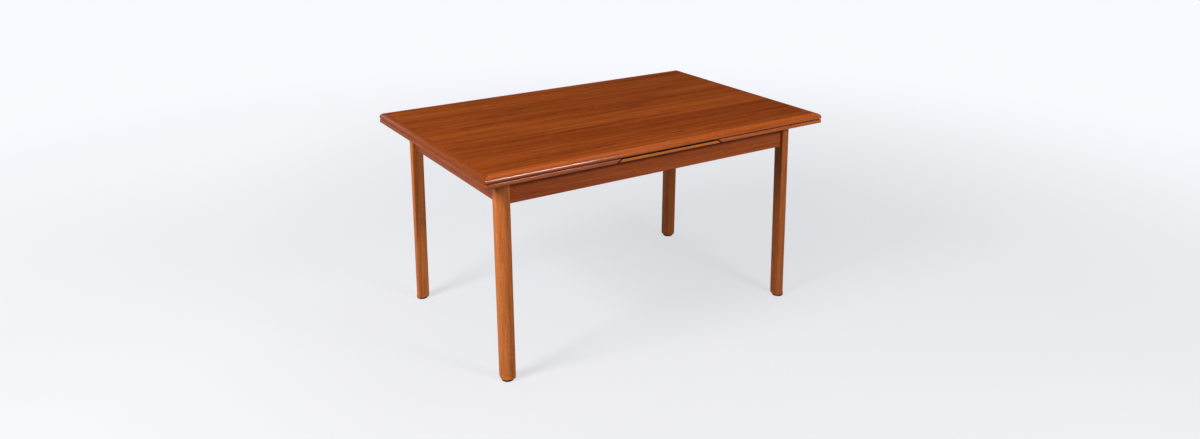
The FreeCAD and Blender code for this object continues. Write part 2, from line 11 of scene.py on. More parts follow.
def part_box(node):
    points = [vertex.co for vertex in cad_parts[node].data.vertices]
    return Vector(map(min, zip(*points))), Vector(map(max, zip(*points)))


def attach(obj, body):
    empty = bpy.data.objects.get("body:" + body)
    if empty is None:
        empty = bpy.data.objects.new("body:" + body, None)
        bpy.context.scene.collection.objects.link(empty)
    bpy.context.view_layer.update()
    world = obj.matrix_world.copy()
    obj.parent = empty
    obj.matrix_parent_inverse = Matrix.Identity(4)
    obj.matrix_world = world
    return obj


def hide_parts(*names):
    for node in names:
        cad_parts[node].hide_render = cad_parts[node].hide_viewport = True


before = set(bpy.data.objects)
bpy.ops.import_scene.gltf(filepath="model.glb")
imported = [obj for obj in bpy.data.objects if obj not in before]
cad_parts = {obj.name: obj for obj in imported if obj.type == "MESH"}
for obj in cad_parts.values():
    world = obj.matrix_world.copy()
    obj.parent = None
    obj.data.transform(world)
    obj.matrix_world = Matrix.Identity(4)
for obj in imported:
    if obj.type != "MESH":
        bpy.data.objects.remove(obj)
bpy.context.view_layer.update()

# Draw leaf dining table in teak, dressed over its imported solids. Metres, with the table's own axes:
# +Z is up, +X runs along the length, the front long side is at -Y.

LOG = logging.getLogger("draw_leaf_table")
MERGE_DISTANCE = 1e-7
NEARNESS = 1e-6

Mesh = bmesh.types.BMesh
Material = bpy.types.Material
Node = bpy.types.Node
Socket = bpy.types.NodeSocket
Tree = bpy.types.NodeTree
Colour = tuple[float, float, float]
Tones = tuple[Colour, Colour, Colour]
Point = tuple[float, float, float]
Profile = list[tuple[float, float]]


class Grain(Enum):
    """Which way the fibres of a wooden piece run."""

    ALONG_X = (0.0, 0.0, 0.0)
    ALONG_Y = (0.0, 0.0, -math.pi / 2)
    ALONG_Z = (0.0, math.pi / 2, 0.0)


class Side(Enum):
    """The two ends of the table, by the sign of their X."""

    LEFT = -1
    RIGHT = 1


class Body(Enum):
    """Names of the bodies that pieces ride on."""

    TOP = "top"
    RINGS = "felt_rings"
    LEFT_LEAF = "left_leaf"
    RIGHT_LEAF = "right_leaf"
    FRAME = "frame"


class Slot(Enum):
    """Names of the record's material slots."""

    VENEER = "teak_veneer"
    LIPPING = "teak_lipping"
    SOLID = "teak_solid"
    BEECH = "beech"
    STEEL = "steel"
    FELT = "felt"
    GLIDE = "glide"


def shade(red: int, green: int, blue: int) -> Colour:
    """Turn a display colour into the linear colour that shaders take.

    Args:
        red: Red from 0 to 255.
        green: Green from 0 to 255.
        blue: Blue from 0 to 255.

    Returns:
        The linear colour, each part from 0 to 1.
    """
    parts = [value / 255.0 for value in (red, green, blue)]
    return tuple(p / 12.92 if p <= 0.04045 else ((p + 0.055) / 1.055) ** 2.4 for p in parts)


class NodeBoard:
    """Places nodes in one node tree and links them."""

    def __init__(self, tree: Tree) -> None:
        """Take the tree to work in."""
        self.tree = tree

    def add(self, kind: str, **settings: object) -> Node:
        """Place a node.

        Args:
            kind: The node's type name.
            **settings: Properties to set on it.

        Returns:
            The new node.
        """
        node = self.tree.nodes.new(kind)
        for name, value in settings.items():
            setattr(node, name, value)
        return node

    def feed(self, socket: Socket, value: object) -> None:
        """Link a socket to another one, or give it a fixed value."""
        if isinstance(value, Socket):
            self.tree.links.new(value, socket)
        else:
            socket.default_value = value

    def worked(self, kind: str, operation: str, values: tuple[object, ...]) -> Node:
        """Place a node that works something out.

        Args:
            kind: The node's type name.
            operation: Its operation.
            values: Numbers, vectors or sockets, in the node's own order.

        Returns:
            The new node.
        """
        node = self.add(kind, operation=operation)
        for socket, value in zip(node.inputs, values):
            self.feed(socket, value)
        return node

    def math(self, operation: str, *values: object) -> Socket:
        """Work out one number from others."""
        return self.worked("ShaderNodeMath", operation, values).outputs[0]

    def vector(self, operation: str, *values: object) -> Socket:
        """Work out one vector from others."""
        return self.worked("ShaderNodeVectorMath", operation, values).outputs[0]

    def measure(self, operation: str, *values: object) -> Socket:
        """Work out one number from vectors."""
        return self.worked("ShaderNodeVectorMath", operation, values).outputs["Value"]

    def place(self) -> Socket:
        """Where on the piece, in the table's own axes."""
        return self.add("ShaderNodeTexCoord").outputs["Object"]

    def parts(self, vector: Socket) -> list[Socket]:
        """Split a vector into its three numbers."""
        node = self.add("ShaderNodeSeparateXYZ")
        self.feed(node.inputs[0], vector)
        return list(node.outputs)

    def join(self, x: object, y: object, z: object) -> Socket:
        """Make a vector of three numbers."""
        node = self.add("ShaderNodeCombineXYZ")
        for socket, value in zip(node.inputs, (x, y, z)):
            self.feed(socket, value)
        return node.outputs[0]

    def noise(self, vector: Socket, stretch: Point, detail: float = 2.0, roughness: float = 0.5) -> Socket:
        """Lay a noise of different scale along each axis.

        Args:
            vector: Where on the piece.
            stretch: Features per metre along each axis.
            detail: How many finer layers are added.
            roughness: How strong the finer layers are.

        Returns:
            The noise's socket, from 0 to 1.
        """
        node = self.add("ShaderNodeTexNoise", noise_dimensions="3D")
        self.feed(node.inputs["Vector"], self.vector("MULTIPLY", vector, stretch))
        node.inputs["Scale"].default_value = 1.0
        node.inputs["Detail"].default_value = detail
        node.inputs["Roughness"].default_value = roughness
        return node.outputs[0]

    def remap(
        self,
        value: Socket,
        low: object,
        high: object,
        to_low: float = 0.0,
        to_high: float = 1.0,
    ) -> Socket:
        """Carry a range of numbers smoothly onto another, held at its ends.

        Args:
            value: The number to carry over.
            low: Where the first range starts.
            high: Where the first range ends.
            to_low: What its start becomes.
            to_high: What its end becomes.

        Returns:
            The result's socket.
        """
        node = self.add("ShaderNodeMapRange", interpolation_type="SMOOTHSTEP")
        for socket, number in zip(node.inputs[:5], (value, low, high, to_low, to_high)):
            self.feed(socket, number)
        return node.outputs[0]

    def blend(self, factor: object, first: object, second: object, mode: str = "MIX") -> Socket:
        """Mix two colours.

        Args:
            factor: How much of the second colour shows.
            first: The first colour.
            second: The second colour.
            mode: The Mix node's blend type.

        Returns:
            The mixed colour's socket.
        """
        node = self.add("ShaderNodeMix", data_type="RGBA", blend_type=mode)
        for socket, value in zip((node.inputs[0], node.inputs[6], node.inputs[7]), (factor, first, second)):
            if isinstance(value, tuple):
                value = (*value, 1.0)
            self.feed(socket, value)
        return node.outputs[2]

    def toned(self, colour: object, tone: Socket) -> Socket:
        """Make a colour lighter or darker by a number."""
        return self.blend(1.0, colour, self.join(tone, tone, tone), "MULTIPLY")

    def relief(self, shader: Node, height: Socket, strength: float, distance: float) -> None:
        """Give a shader an uneven surface.

        Args:
            shader: The material's shader.
            height: How high the surface stands.
            strength: How strongly it shows.
            distance: How much a height of 1 is, in metres.
        """
        bump = self.add("ShaderNodeBump")
        bump.inputs["Strength"].default_value = strength
        bump.inputs["Distance"].default_value = distance
        self.feed(bump.inputs["Height"], height)
        self.feed(shader.inputs["Normal"], bump.outputs[0])

    def give_out(self, share: Socket, first: Node, second: Node) -> None:
        """Put a mix of two shaders out of the tree.

        Args:
            share: How much of the second shader shows.
            first: The first shader.
            second: The second shader.
        """
        mixed = self.add("ShaderNodeMixShader")
        for socket, value in zip(mixed.inputs, (share, first.outputs[0], second.outputs[0])):
            self.feed(socket, value)
        output = next(n for n in self.tree.nodes if n.type in ("OUTPUT_MATERIAL", "OUTPUT_WORLD"))
        self.feed(output.inputs["Surface"], mixed.outputs[0])

    def placed(self, group: Tree, **values: object) -> Node:
        """Place a node group.

        Args:
            group: The group to place.
            **values: Its inputs by name, with _ for a space.

        Returns:
            The group's node.
        """
        node = self.add("ShaderNodeGroup", node_tree=group)
        for name, value in values.items():
            self.feed(node.inputs[name.replace("_", " ")], value)
        return node


def new_group(
    name: str, vectors: tuple[str, ...], numbers: tuple[str, ...], outputs: tuple[str, ...]
) -> tuple[NodeBoard, Node, Node]:
    """Start a shader node group.

    Args:
        name: The group's name.
        vectors: Names of its inputs that are vectors.
        numbers: Names of its inputs that are numbers.
        outputs: Its outputs' names, all numbers.

    Returns:
        A board for its tree, and its input and output nodes.
    """
    tree = bpy.data.node_groups.new(name, "ShaderNodeTree")
    for labels, side, kind in (
        (vectors, "INPUT", "NodeSocketVector"),
        (numbers, "INPUT", "NodeSocketFloat"),
        (outputs, "OUTPUT", "NodeSocketFloat"),
    ):
        for label in labels:
            tree.interface.new_socket(name=label, in_out=side, socket_type=kind)
    board = NodeBoard(tree)
    return board, board.add("NodeGroupInput"), board.add("NodeGroupOutput")


@dataclass
class SharedEffects:
    """Shader effects that more than one finish uses, each a node group built once."""

    figure: Tree = field(init=False)
    vein: Tree = field(init=False)
    handling: Tree = field(init=False)
    painted_shade: Tree = field(init=False)

    def __post_init__(self) -> None:
        """Build the groups."""
        self.figure = self.build_figure()
        self.vein = self.build_vein()
        self.handling = self.build_handling()
        self.painted_shade = self.build_painted_shade()

    def build_figure(self) -> Tree:
        """Growth rings, broad bands, fibres and pores of wood whose fibres run along X.

        Returns:
            The node group.
        """
        numbers = ("Ring Width", "Wander", "Lean", "Pore Density")
        outputs = ("Rings", "Bands", "Streaks", "Fibres", "Pores")
        board, given, result = new_group("wood_figure", ("Vector",), numbers, outputs)
        place = given.outputs["Vector"]
        x, y, z = board.parts(place)
        drift = board.math("SUBTRACT", board.noise(place, (1.1, 3.2, 3.2), 2.0), 0.5)
        ripple = board.math("SUBTRACT", board.noise(place, (7.0, 17.0, 17.0), 1.0), 0.5)
        bent = board.math("MULTIPLY_ADD", ripple, 0.14, drift)
        shift = board.math("MULTIPLY", bent, given.outputs["Wander"])
        across = board.math("ADD", y, shift)
        rise = board.math("MULTIPLY_ADD", x, given.outputs["Lean"], z)
        depth = board.math("MULTIPLY_ADD", shift, 0.6, rise)
        from_pith = board.vector("SUBTRACT", board.join(0.0, across, depth), (0.0, 0.83, 0.27))
        phase = board.math("DIVIDE", board.measure("LENGTH", from_pith), given.outputs["Ring Width"])
        years = board.add("ShaderNodeTexNoise", noise_dimensions="1D")
        board.feed(years.inputs["W"], board.math("MULTIPLY", phase, 0.41))
        years.inputs["Scale"].default_value = 1.0
        years.inputs["Detail"].default_value = 2.0
        uneven = board.math("MULTIPLY_ADD", years.outputs[0], 2.6, phase)
        season = board.math("FRACT", uneven)
        late = board.remap(season, 0.25, 0.9)
        ended = board.remap(season, 0.93, 1.0, 1.0, 0.0)
        flow = board.join(x, across, depth)
        bands = board.noise(flow, (0.55, 13.0, 13.0), 3.0, 0.55)
        fine = board.noise(flow, (3.4, 170.0, 170.0), 3.0, 0.6)
        broad = board.noise(flow, (1.5, 46.0, 46.0), 2.0, 0.5)
        streaks = board.remap(board.math("MULTIPLY_ADD", broad, 0.7, fine), 0.78, 1.08)
        fibres = board.noise(flow, (13.0, 620.0, 620.0), 3.0, 0.62)
        cells = board.add("ShaderNodeTexVoronoi", feature="F1", voronoi_dimensions="3D")
        board.feed(cells.inputs["Vector"], board.vector("MULTIPLY", flow, (95.0, 1250.0, 1250.0)))
        cells.inputs["Scale"].default_value = 1.0
        vessels = board.remap(cells.outputs["Distance"], 0.42, 0.2)
        early = board.remap(season, 0.85, 0.2, 0.25, 1.0)
        clusters = board.remap(board.noise(flow, (5.0, 90.0, 90.0), 1.0), 0.3, 0.62)
        pores = board.math("MULTIPLY", board.math("MULTIPLY", vessels, early), clusters)
        board.feed(result.inputs["Rings"], board.math("MULTIPLY", late, ended))
        board.feed(result.inputs["Bands"], bands)
        board.feed(result.inputs["Streaks"], streaks)
        board.feed(result.inputs["Fibres"], fibres)
        board.feed(result.inputs["Pores"], board.math("MULTIPLY", pores, given.outputs["Pore Density"]))
        return board.tree

    def build_vein(self) -> Tree:
        """One broken dark vein along the fibres, at a given place on a piece.

        Returns:
            The node group.
        """
        numbers = ("Across", "Start", "End", "Width")
        board, given, result = new_group("mineral_vein", ("Vector",), numbers, ("Vein",))
        place = given.outputs["Vector"]
        x, y, _ = board.parts(place)
        sway = board.math("SUBTRACT", board.noise(place, (9.0, 0.0, 0.0), 2.0), 0.5)
        off = board.math("SUBTRACT", board.math("MULTIPLY_ADD", sway, 0.022, y), given.outputs["Across"])
        near = board.remap(board.math("ABSOLUTE", off), given.outputs["Width"], 0.0)
        fade = board.math("ADD", given.outputs["Start"], 0.035)
        begun = board.remap(x, given.outputs["Start"], fade)
        last = board.math("SUBTRACT", given.outputs["End"], 0.05)
        not_over = board.remap(x, given.outputs["End"], last)
        broken = board.remap(board.noise(place, (26.0, 240.0, 0.0), 2.0, 0.6), 0.38, 0.66)
        inside = board.math("MULTIPLY", begun, not_over)
        whole = board.math("MULTIPLY", near, inside)
        board.feed(result.inputs["Vein"], board.math("MULTIPLY", whole, broken))
        return board.tree

    def build_handling(self) -> Tree:
        """Smudges and hairline scratches that years of use leave in a finish.

        Returns:
            The node group.
        """
        board, given, result = new_group("handling", ("Vector",), (), ("Smudges", "Scratches"))
        place = given.outputs["Vector"]
        smudges = board.noise(place, (9.0, 9.0, 9.0), 4.0, 0.6)
        turn = board.add("ShaderNodeVectorRotate", rotation_type="Z_AXIS")
        board.feed(turn.inputs["Vector"], place)
        turn.inputs["Angle"].default_value = 0.5
        hair = board.noise(turn.outputs[0], (26.0, 1900.0, 60.0), 1.0)
        where = board.remap(board.noise(place, (7.0, 5.0, 6.0), 2.0), 0.52, 0.7)
        board.feed(result.inputs["Smudges"], smudges)
        scratches = board.math("MULTIPLY", board.remap(hair, 0.7, 0.78), where)
        board.feed(result.inputs["Scratches"], scratches)
        return board.tree

    def build_painted_shade(self) -> Tree:
        """Painted shade: a tone that sets in between two distances along a direction, with a slightly uneven
        border.

        Returns:
            The node group.
        """
        vectors = ("Vector", "Direction")
        board, given, result = new_group("painted_shade", vectors, ("Clear", "Deep"), ("Depth",))
        place = given.outputs["Vector"]
        along = board.measure("DOT_PRODUCT", board.vector("ABSOLUTE", place), given.outputs["Direction"])
        sway = board.math("SUBTRACT", board.noise(place, (14.0, 14.0, 14.0), 2.0), 0.5)
        reach = board.math("SUBTRACT", given.outputs["Deep"], given.outputs["Clear"])
        distance = board.math("MULTIPLY_ADD", sway, board.math("MULTIPLY", reach, 0.5), along)
        depth = board.remap(distance, given.outputs["Clear"], given.outputs["Deep"])
        board.feed(result.inputs["Depth"], depth)
        return board.tree


def new_material(name: str) -> tuple[Material, NodeBoard, Node]:
    """Start a material with its shader.

    Args:
        name: The material's name.

    Returns:
        The material, a board for its tree and its Principled BSDF.
    """
    material = bpy.data.materials.new(name)
    material.use_nodes = True
    shader = next(n for n in material.node_tree.nodes if n.type == "BSDF_PRINCIPLED")
    return material, NodeBoard(material.node_tree), shader


@dataclass(frozen=True)
class Vein:
    """A dark vein in the veneer, by its place on the panel in metres."""

    across: float
    start: float
    end: float
    width: float
    strength: float


@dataclass(frozen=True)
class PaintedShade:
    """Painted shade: a darker tone of the wood along joints, in gaps and under overhangs, where shade falls,
    between two distances in metres.
    """

    clear: float
    deep: float
    strength: float
    direction: Point = (0.0, 0.0, 1.0)
    # The colour of the painted shade.
    colour: Colour = shade(40, 18, 9)


@dataclass(frozen=True)
class WoodFinish:
    """An oiled or sanded wood with its fibres in one direction."""

    name: str
    grain: Grain
    tones: Tones
    pore: Colour
    ring_width: float = 0.0065
    wander: float = 0.03
    lean: float = 0.02
    ring_strength: float = 0.5
    streak_strength: float = 0.45
    pore_density: float = 0.8
    roughness: float = 0.5
    specular: float = 0.012
    relief: float = 0.22
    nose_from: float = 0.0
    nose_low: float = 0.0
    nose_gloss: float = 0.21
    leaf_width: float = 0.0
    veins: tuple[Vein, ...] = ()
    # Painted shade along joints, in gaps and under overhangs.
    painted_shades: tuple[PaintedShade, ...] = ()

    def material(self, effects: SharedEffects) -> Material:
        """Build the finish.

        Args:
            effects: The shared node groups.

        Returns:
            The material.
        """
        material, board, shader = new_material(self.name)
        pale, ground, dark = self.tones
        coordinates = board.place()
        turn = board.add("ShaderNodeMapping", vector_type="POINT")
        board.feed(turn.inputs["Vector"], coordinates)
        turn.inputs["Rotation"].default_value = self.grain.value
        place = turn.outputs[0]
        tint = None
        if self.leaf_width:
            place, tint = self.veneer_leaves(board, place)
        figure = board.placed(
            effects.figure,
            Vector=place,
            Ring_Width=self.ring_width,
            Wander=self.wander,
            Lean=self.lean,
            Pore_Density=self.pore_density,
        )
        bands = board.remap(figure.outputs["Bands"], 0.3, 0.7)
        colour = board.blend(bands, pale, ground)
        ring_share = board.math("MULTIPLY", figure.outputs["Rings"], self.ring_strength)
        colour = board.blend(ring_share, colour, dark)
        streak_share = board.math("MULTIPLY", figure.outputs["Streaks"], self.streak_strength)
        colour = board.blend(streak_share, colour, dark)
        fibre_tone = board.remap(figure.outputs["Fibres"], 0.25, 0.75, 0.8, 1.16)
        colour = board.toned(colour, fibre_tone)
        if tint is not None:
            colour = board.toned(colour, tint)
        for vein in self.veins:
            mark = board.placed(
                effects.vein,
                Vector=coordinates,
                Across=vein.across,
                Start=vein.start,
                End=vein.end,
                Width=vein.width,
            )
            colour = board.blend(board.math("MULTIPLY", mark.outputs[0], vein.strength), colour, self.pore)
        colour = board.blend(figure.outputs["Pores"], colour, self.pore)
        # Painted shade: the colour is darkened along joints, in gaps and under overhangs, where shade falls.
        for part in self.painted_shades:
            mark = board.placed(
                effects.painted_shade,
                Vector=coordinates,
                Direction=part.direction,
                Clear=part.clear,
                Deep=part.deep,
            )
            colour = board.blend(board.math("MULTIPLY", mark.outputs[0], part.strength), colour, part.colour)
        wear = board.placed(effects.handling, Vector=coordinates)
        worn = board.math("MULTIPLY", wear.outputs["Scratches"], 0.2)
        board.feed(shader.inputs["Base Color"], board.blend(worn, colour, pale))
        smudged = board.remap(wear.outputs["Smudges"], 0.3, 0.7, self.roughness - 0.05, self.roughness + 0.06)
        rough = board.math("MULTIPLY_ADD", figure.outputs["Pores"], 0.25, smudged)
        board.feed(shader.inputs["Roughness"], rough)
        shader.inputs["Specular IOR Level"].default_value = self.specular
        if self.nose_from:
            self.burnish(board, shader, place)
        sunk = board.math("MULTIPLY_ADD", figure.outputs["Pores"], -0.8, figure.outputs["Fibres"])
        height = board.math("MULTIPLY_ADD", figure.outputs["Rings"], 0.15, sunk)
        height = board.math("MULTIPLY_ADD", wear.outputs["Scratches"], -0.35, height)
        board.relief(shader, height, self.relief, 0.0004)
        return material

    def burnish(self, board: NodeBoard, shader: Node, place: Socket) -> None:
        """Give the rounded outer edge the gloss that sleeves and polishing cloths leave there.

        Args:
            board: The material's board.
            shader: The material's shader.
            place: Where on the piece, fibres along X.
        """
        _, y, z = board.parts(place)
        outer = board.remap(board.math("ABSOLUTE", y), self.nose_from, self.nose_from + 0.003)
        rubbed = board.math("MULTIPLY", outer, board.remap(z, self.nose_low, self.nose_low + 0.003))
        least = 0.7 * self.nose_gloss
        uneven = board.remap(board.noise(place, (5.0, 60.0, 60.0), 3.0), 0.25, 0.7, least, self.nose_gloss)
        board.feed(shader.inputs["Coat Weight"], board.math("MULTIPLY", rubbed, uneven))
        shader.inputs["Coat Roughness"].default_value = 0.13
        shader.inputs["Coat IOR"].default_value = 2.0

    def veneer_leaves(self, board: NodeBoard, place: Socket) -> tuple[Socket, Socket]:
        """Part the surface into side by side leaves of veneer, each from its own place in the log.

        Args:
            board: The material's board.
            place: Where on the piece, fibres along X.

        Returns:
            The place moved for each leaf, and each leaf's tone.
        """
        _, y, _ = board.parts(place)
        count = board.math("FLOOR", board.math("DIVIDE", y, self.leaf_width))
        chance = board.add("ShaderNodeTexWhiteNoise", noise_dimensions="1D")
        board.feed(chance.inputs["W"], board.math("ADD", count, 7.3))
        moved = board.vector("MULTIPLY", chance.outputs["Color"], (1.7, 0.05, 0.05))
        tone = board.remap(chance.outputs["Value"], 0.0, 1.0, 0.97, 1.03)
        return board.vector("ADD", place, moved), tone


@dataclass(frozen=True)
class SteelFinish:
    """Zinc plated steel, a little dulled."""

    name: str = "zinc_plated_steel"
    bright: Colour = shade(186, 184, 176)
    dull: Colour = shade(128, 124, 112)
    roughness: float = 0.34

    def material(self, effects: SharedEffects) -> Material:
        """Build the finish.

        Args:
            effects: The shared node groups.

        Returns:
            The material.
        """
        material, board, shader = new_material(self.name)
        place = board.place()
        spangle = board.noise(place, (420.0, 420.0, 420.0), 3.0)
        stain = board.remap(board.noise(place, (60.0, 60.0, 60.0), 3.0), 0.45, 0.7)
        colour = board.blend(stain, self.bright, self.dull)
        tone = board.remap(spangle, 0.2, 0.8, 0.88, 1.1)
        board.feed(shader.inputs["Base Color"], board.toned(colour, tone))
        shader.inputs["Metallic"].default_value = 1.0
        wear = board.placed(effects.handling, Vector=place)
        rough = board.remap(wear.outputs["Smudges"], 0.3, 0.7, self.roughness - 0.06, self.roughness + 0.16)
        board.feed(shader.inputs["Roughness"], rough)
        board.relief(shader, spangle, 0.12, 0.0002)
        return material


@dataclass(frozen=True)
class FeltFinish:
    """Pressed wool felt."""

    name: str = "dark_green_felt"
    nap: Colour = shade(58, 70, 54)
    hollow: Colour = shade(26, 33, 27)

    def material(self, effects: SharedEffects) -> Material:
        """Build the finish.

        Args:
            effects: The shared node groups.

        Returns:
            The material.
        """
        material, board, shader = new_material(self.name)
        place = board.place()
        wool = board.noise(place, (1500.0, 1500.0, 1500.0), 4.0, 0.7)
        tufts = board.noise(place, (240.0, 240.0, 240.0), 2.0)
        mixed = board.math("MULTIPLY_ADD", tufts, 0.5, board.math("MULTIPLY", wool, 0.5))
        pressed = board.placed(effects.handling, Vector=place)
        share = board.remap(mixed, 0.35, 0.65)
        colour = board.blend(share, self.hollow, self.nap)
        flat = board.remap(pressed.outputs["Smudges"], 0.5, 0.75, 0.0, 0.3)
        board.feed(shader.inputs["Base Color"], board.blend(flat, colour, self.hollow))
        shader.inputs["Roughness"].default_value = 0.95
        shader.inputs["Specular IOR Level"].default_value = 0.1
        shader.inputs["Sheen Weight"].default_value = 0.35
        shader.inputs["Sheen Roughness"].default_value = 0.6
        board.relief(shader, mixed, 0.6, 0.0006)
        return material


@dataclass(frozen=True)
class GlideFinish:
    """Dark moulded plastic of the glides, scuffed by floors."""

    name: str = "dark_brown_glide"
    fresh: Colour = shade(18, 13, 10)
    scuffed: Colour = shade(48, 40, 34)

    def material(self, effects: SharedEffects) -> Material:
        """Build the finish.

        Args:
            effects: The shared node groups.

        Returns:
            The material.
        """
        material, board, shader = new_material(self.name)
        place = board.place()
        wear = board.placed(effects.handling, Vector=board.vector("MULTIPLY", place, (6.0, 6.0, 6.0)))
        _, _, height = board.parts(place)
        low = board.remap(height, 0.0022, 0.0)
        scuffs = board.remap(board.noise(place, (300.0, 900.0, 300.0), 3.0), 0.4, 0.68)
        worn = board.math("MULTIPLY", low, scuffs)
        board.feed(shader.inputs["Base Color"], board.blend(worn, self.fresh, self.scuffed))
        rough = board.remap(wear.outputs["Smudges"], 0.3, 0.7, 0.4, 0.6)
        board.feed(shader.inputs["Roughness"], board.math("MULTIPLY_ADD", worn, 0.2, rough))
        shader.inputs["Specular IOR Level"].default_value = 0.2
        board.relief(shader, board.math("ADD", scuffs, wear.outputs["Scratches"]), 0.3, 0.0003)
        return material


TOP_NOSE_LOW = 0.7125
BEVEL_NORMAL = (0.6075, 0.0, 0.7943)
# Painted shade in the gap: the lowest edge of the top's lippings is darkened.
TOP_PAINTED_SHADES = (PaintedShade(clear=0.7124, deep=0.7112, strength=0.96),)
# Painted shade under the leaves and the bridge: their lowest edge is darkened.
LOW_PAINTED_SHADE = PaintedShade(clear=0.6966, deep=0.6952, strength=0.9)
# Painted shade on the leaves: their lowest edge and the bevel in the slanted joint are darkened.
LEAF_PAINTED_SHADES = (LOW_PAINTED_SHADE, PaintedShade(clear=0.6833, deep=0.6814, strength=0.96, direction=BEVEL_NORMAL))
# Painted shade on the bridge: its lowest edge, the top of its lippings under the loose top, and its bevels
# are darkened.
BRIDGE_PAINTED_SHADES = (
    LOW_PAINTED_SHADE,
    PaintedShade(clear=0.7047, deep=0.7054, strength=0.96),
    PaintedShade(clear=0.6757, deep=0.6776, strength=0.96, direction=BEVEL_NORMAL),
)
# Painted shadow: the aprons' upper band under the overhang is darkened.
APRON_PAINTED_SHADES = (PaintedShade(clear=0.650, deep=0.665, strength=0.65),)

LEAF_VENEER = WoodFinish(
    name="teak_veneer_leaf",
    grain=Grain.ALONG_X,
    tones=(shade(160, 77, 30), shade(144, 66, 24), shade(112, 46, 15)),
    pore=shade(70, 28, 10),
    leaf_width=0.1664,
)
BRIDGE_LIPPING = WoodFinish(
    name="teak_bridge_lipping",
    grain=Grain.ALONG_X,
    tones=(shade(228, 134, 62), shade(213, 117, 50), shade(172, 84, 34)),
    pore=shade(82, 36, 12),
    ring_width=0.0042,
    wander=0.02,
    ring_strength=0.45,
    streak_strength=0.3,
    roughness=0.24,
    specular=0.02,
    painted_shades=BRIDGE_PAINTED_SHADES,
)
TOP_LIPPING = replace(
    BRIDGE_LIPPING,
    name="teak_lipping_long",
    tones=(shade(184, 92, 24), shade(169, 78, 17), shade(134, 55, 11)),
    specular=0.14,
    nose_from=0.431,
    nose_low=TOP_NOSE_LOW,
    painted_shades=TOP_PAINTED_SHADES,
)
LEG_TEAK = WoodFinish(
    name="teak_leg",
    grain=Grain.ALONG_Z,
    tones=(shade(202, 117, 58), shade(182, 98, 44), shade(146, 69, 27)),
    pore=shade(76, 32, 12),
    ring_width=0.0085,
    ring_strength=0.28,
    roughness=0.45,
    specular=0.1,
)
BEECH = WoodFinish(
    name="beech_slides",
    grain=Grain.ALONG_X,
    tones=(shade(214, 176, 132), shade(201, 158, 112), shade(178, 130, 86)),
    pore=shade(138, 92, 54),
    ring_width=0.0035,
    wander=0.02,
    ring_strength=0.35,
    pore_density=0.6,
    roughness=0.6,
    specular=0.25,
    relief=0.3,
)
FINISHES = {
    "top_veneer": replace(
        LEAF_VENEER,
        name="teak_veneer_top",
        tones=(shade(158, 78, 28), shade(134, 60, 19), shade(92, 35, 9)),
        pore=shade(58, 21, 6),
        streak_strength=0.55,
        specular=0.003,
        veins=(
            Vein(across=-0.127, start=-0.655, end=-0.585, width=0.011, strength=0.95),
            Vein(across=-0.146, start=-0.47, end=0.08, width=0.010, strength=0.8),
            Vein(across=0.078, start=-0.53, end=0.2, width=0.014, strength=0.6),
            Vein(across=-0.345, start=-0.62, end=0.16, width=0.010, strength=0.6),
        ),
    ),
    "leaf_veneer": LEAF_VENEER,
    "lipping_x": TOP_LIPPING,
    "lipping_y": replace(
        TOP_LIPPING,
        name="teak_lipping_end",
        grain=Grain.ALONG_Y,
        tones=(shade(136, 64, 22), shade(122, 55, 17), shade(97, 39, 11)),
        specular=0.01,
        nose_from=0.663,
        nose_gloss=0.05,
    ),
    "left_leaf_lipping": replace(
        TOP_LIPPING,
        name="teak_left_leaf_lipping",
        tones=(shade(194, 104, 50), shade(178, 87, 39), shade(142, 62, 27)),
        nose_from=0.432,
        nose_low=0.7025,
        painted_shades=LEAF_PAINTED_SHADES,
    ),
    "right_leaf_lipping": replace(
        BRIDGE_LIPPING,
        name="teak_right_leaf_lipping",
        tones=(shade(202, 109, 53), shade(185, 93, 42), shade(147, 67, 29)),
        specular=0.06,
        painted_shades=LEAF_PAINTED_SHADES,
    ),
    "end_leaf_lipping": replace(
        BRIDGE_LIPPING,
        name="teak_end_leaf_lipping",
        grain=Grain.ALONG_Y,
        tones=(shade(150, 74, 36), shade(134, 62, 28), shade(106, 44, 18)),
        painted_shades=LEAF_PAINTED_SHADES,
    ),
    "bridge_lipping": BRIDGE_LIPPING,
    "leg": LEG_TEAK,
    "apron_x": replace(
        LEG_TEAK,
        name="teak_apron_long",
        grain=Grain.ALONG_X,
        tones=(shade(184, 93, 45), shade(167, 80, 36), shade(132, 57, 23)),
        painted_shades=APRON_PAINTED_SHADES,
    ),
    "apron_y": replace(
        LEG_TEAK,
        name="teak_apron_end",
        grain=Grain.ALONG_Y,
        tones=(shade(156, 77, 36), shade(140, 65, 28), shade(110, 47, 18)),
        painted_shades=APRON_PAINTED_SHADES,
    ),
    "beech_x": BEECH,
    "beech_y": replace(BEECH, name="beech_rail", grain=Grain.ALONG_Y),
    "beech_z": replace(BEECH, name="beech_blocks", grain=Grain.ALONG_Z),
    "steel": SteelFinish(),
    "felt": FeltFinish(),
    # A dark felt for the strips in the gap under the top's lippings, where it paints shade.
    "gap_shade_felt": FeltFinish("gap_shade_dark_brown_felt", shade(34, 25, 19), shade(15, 11, 8)),
    "glide": GlideFinish(),
}


def new_object(name: str, data: bpy.types.ID) -> bpy.types.Object:
    """Put an object into the scene, at the origin."""
    made = bpy.data.objects.new(name, data)
    bpy.context.scene.collection.objects.link(made)
    return made


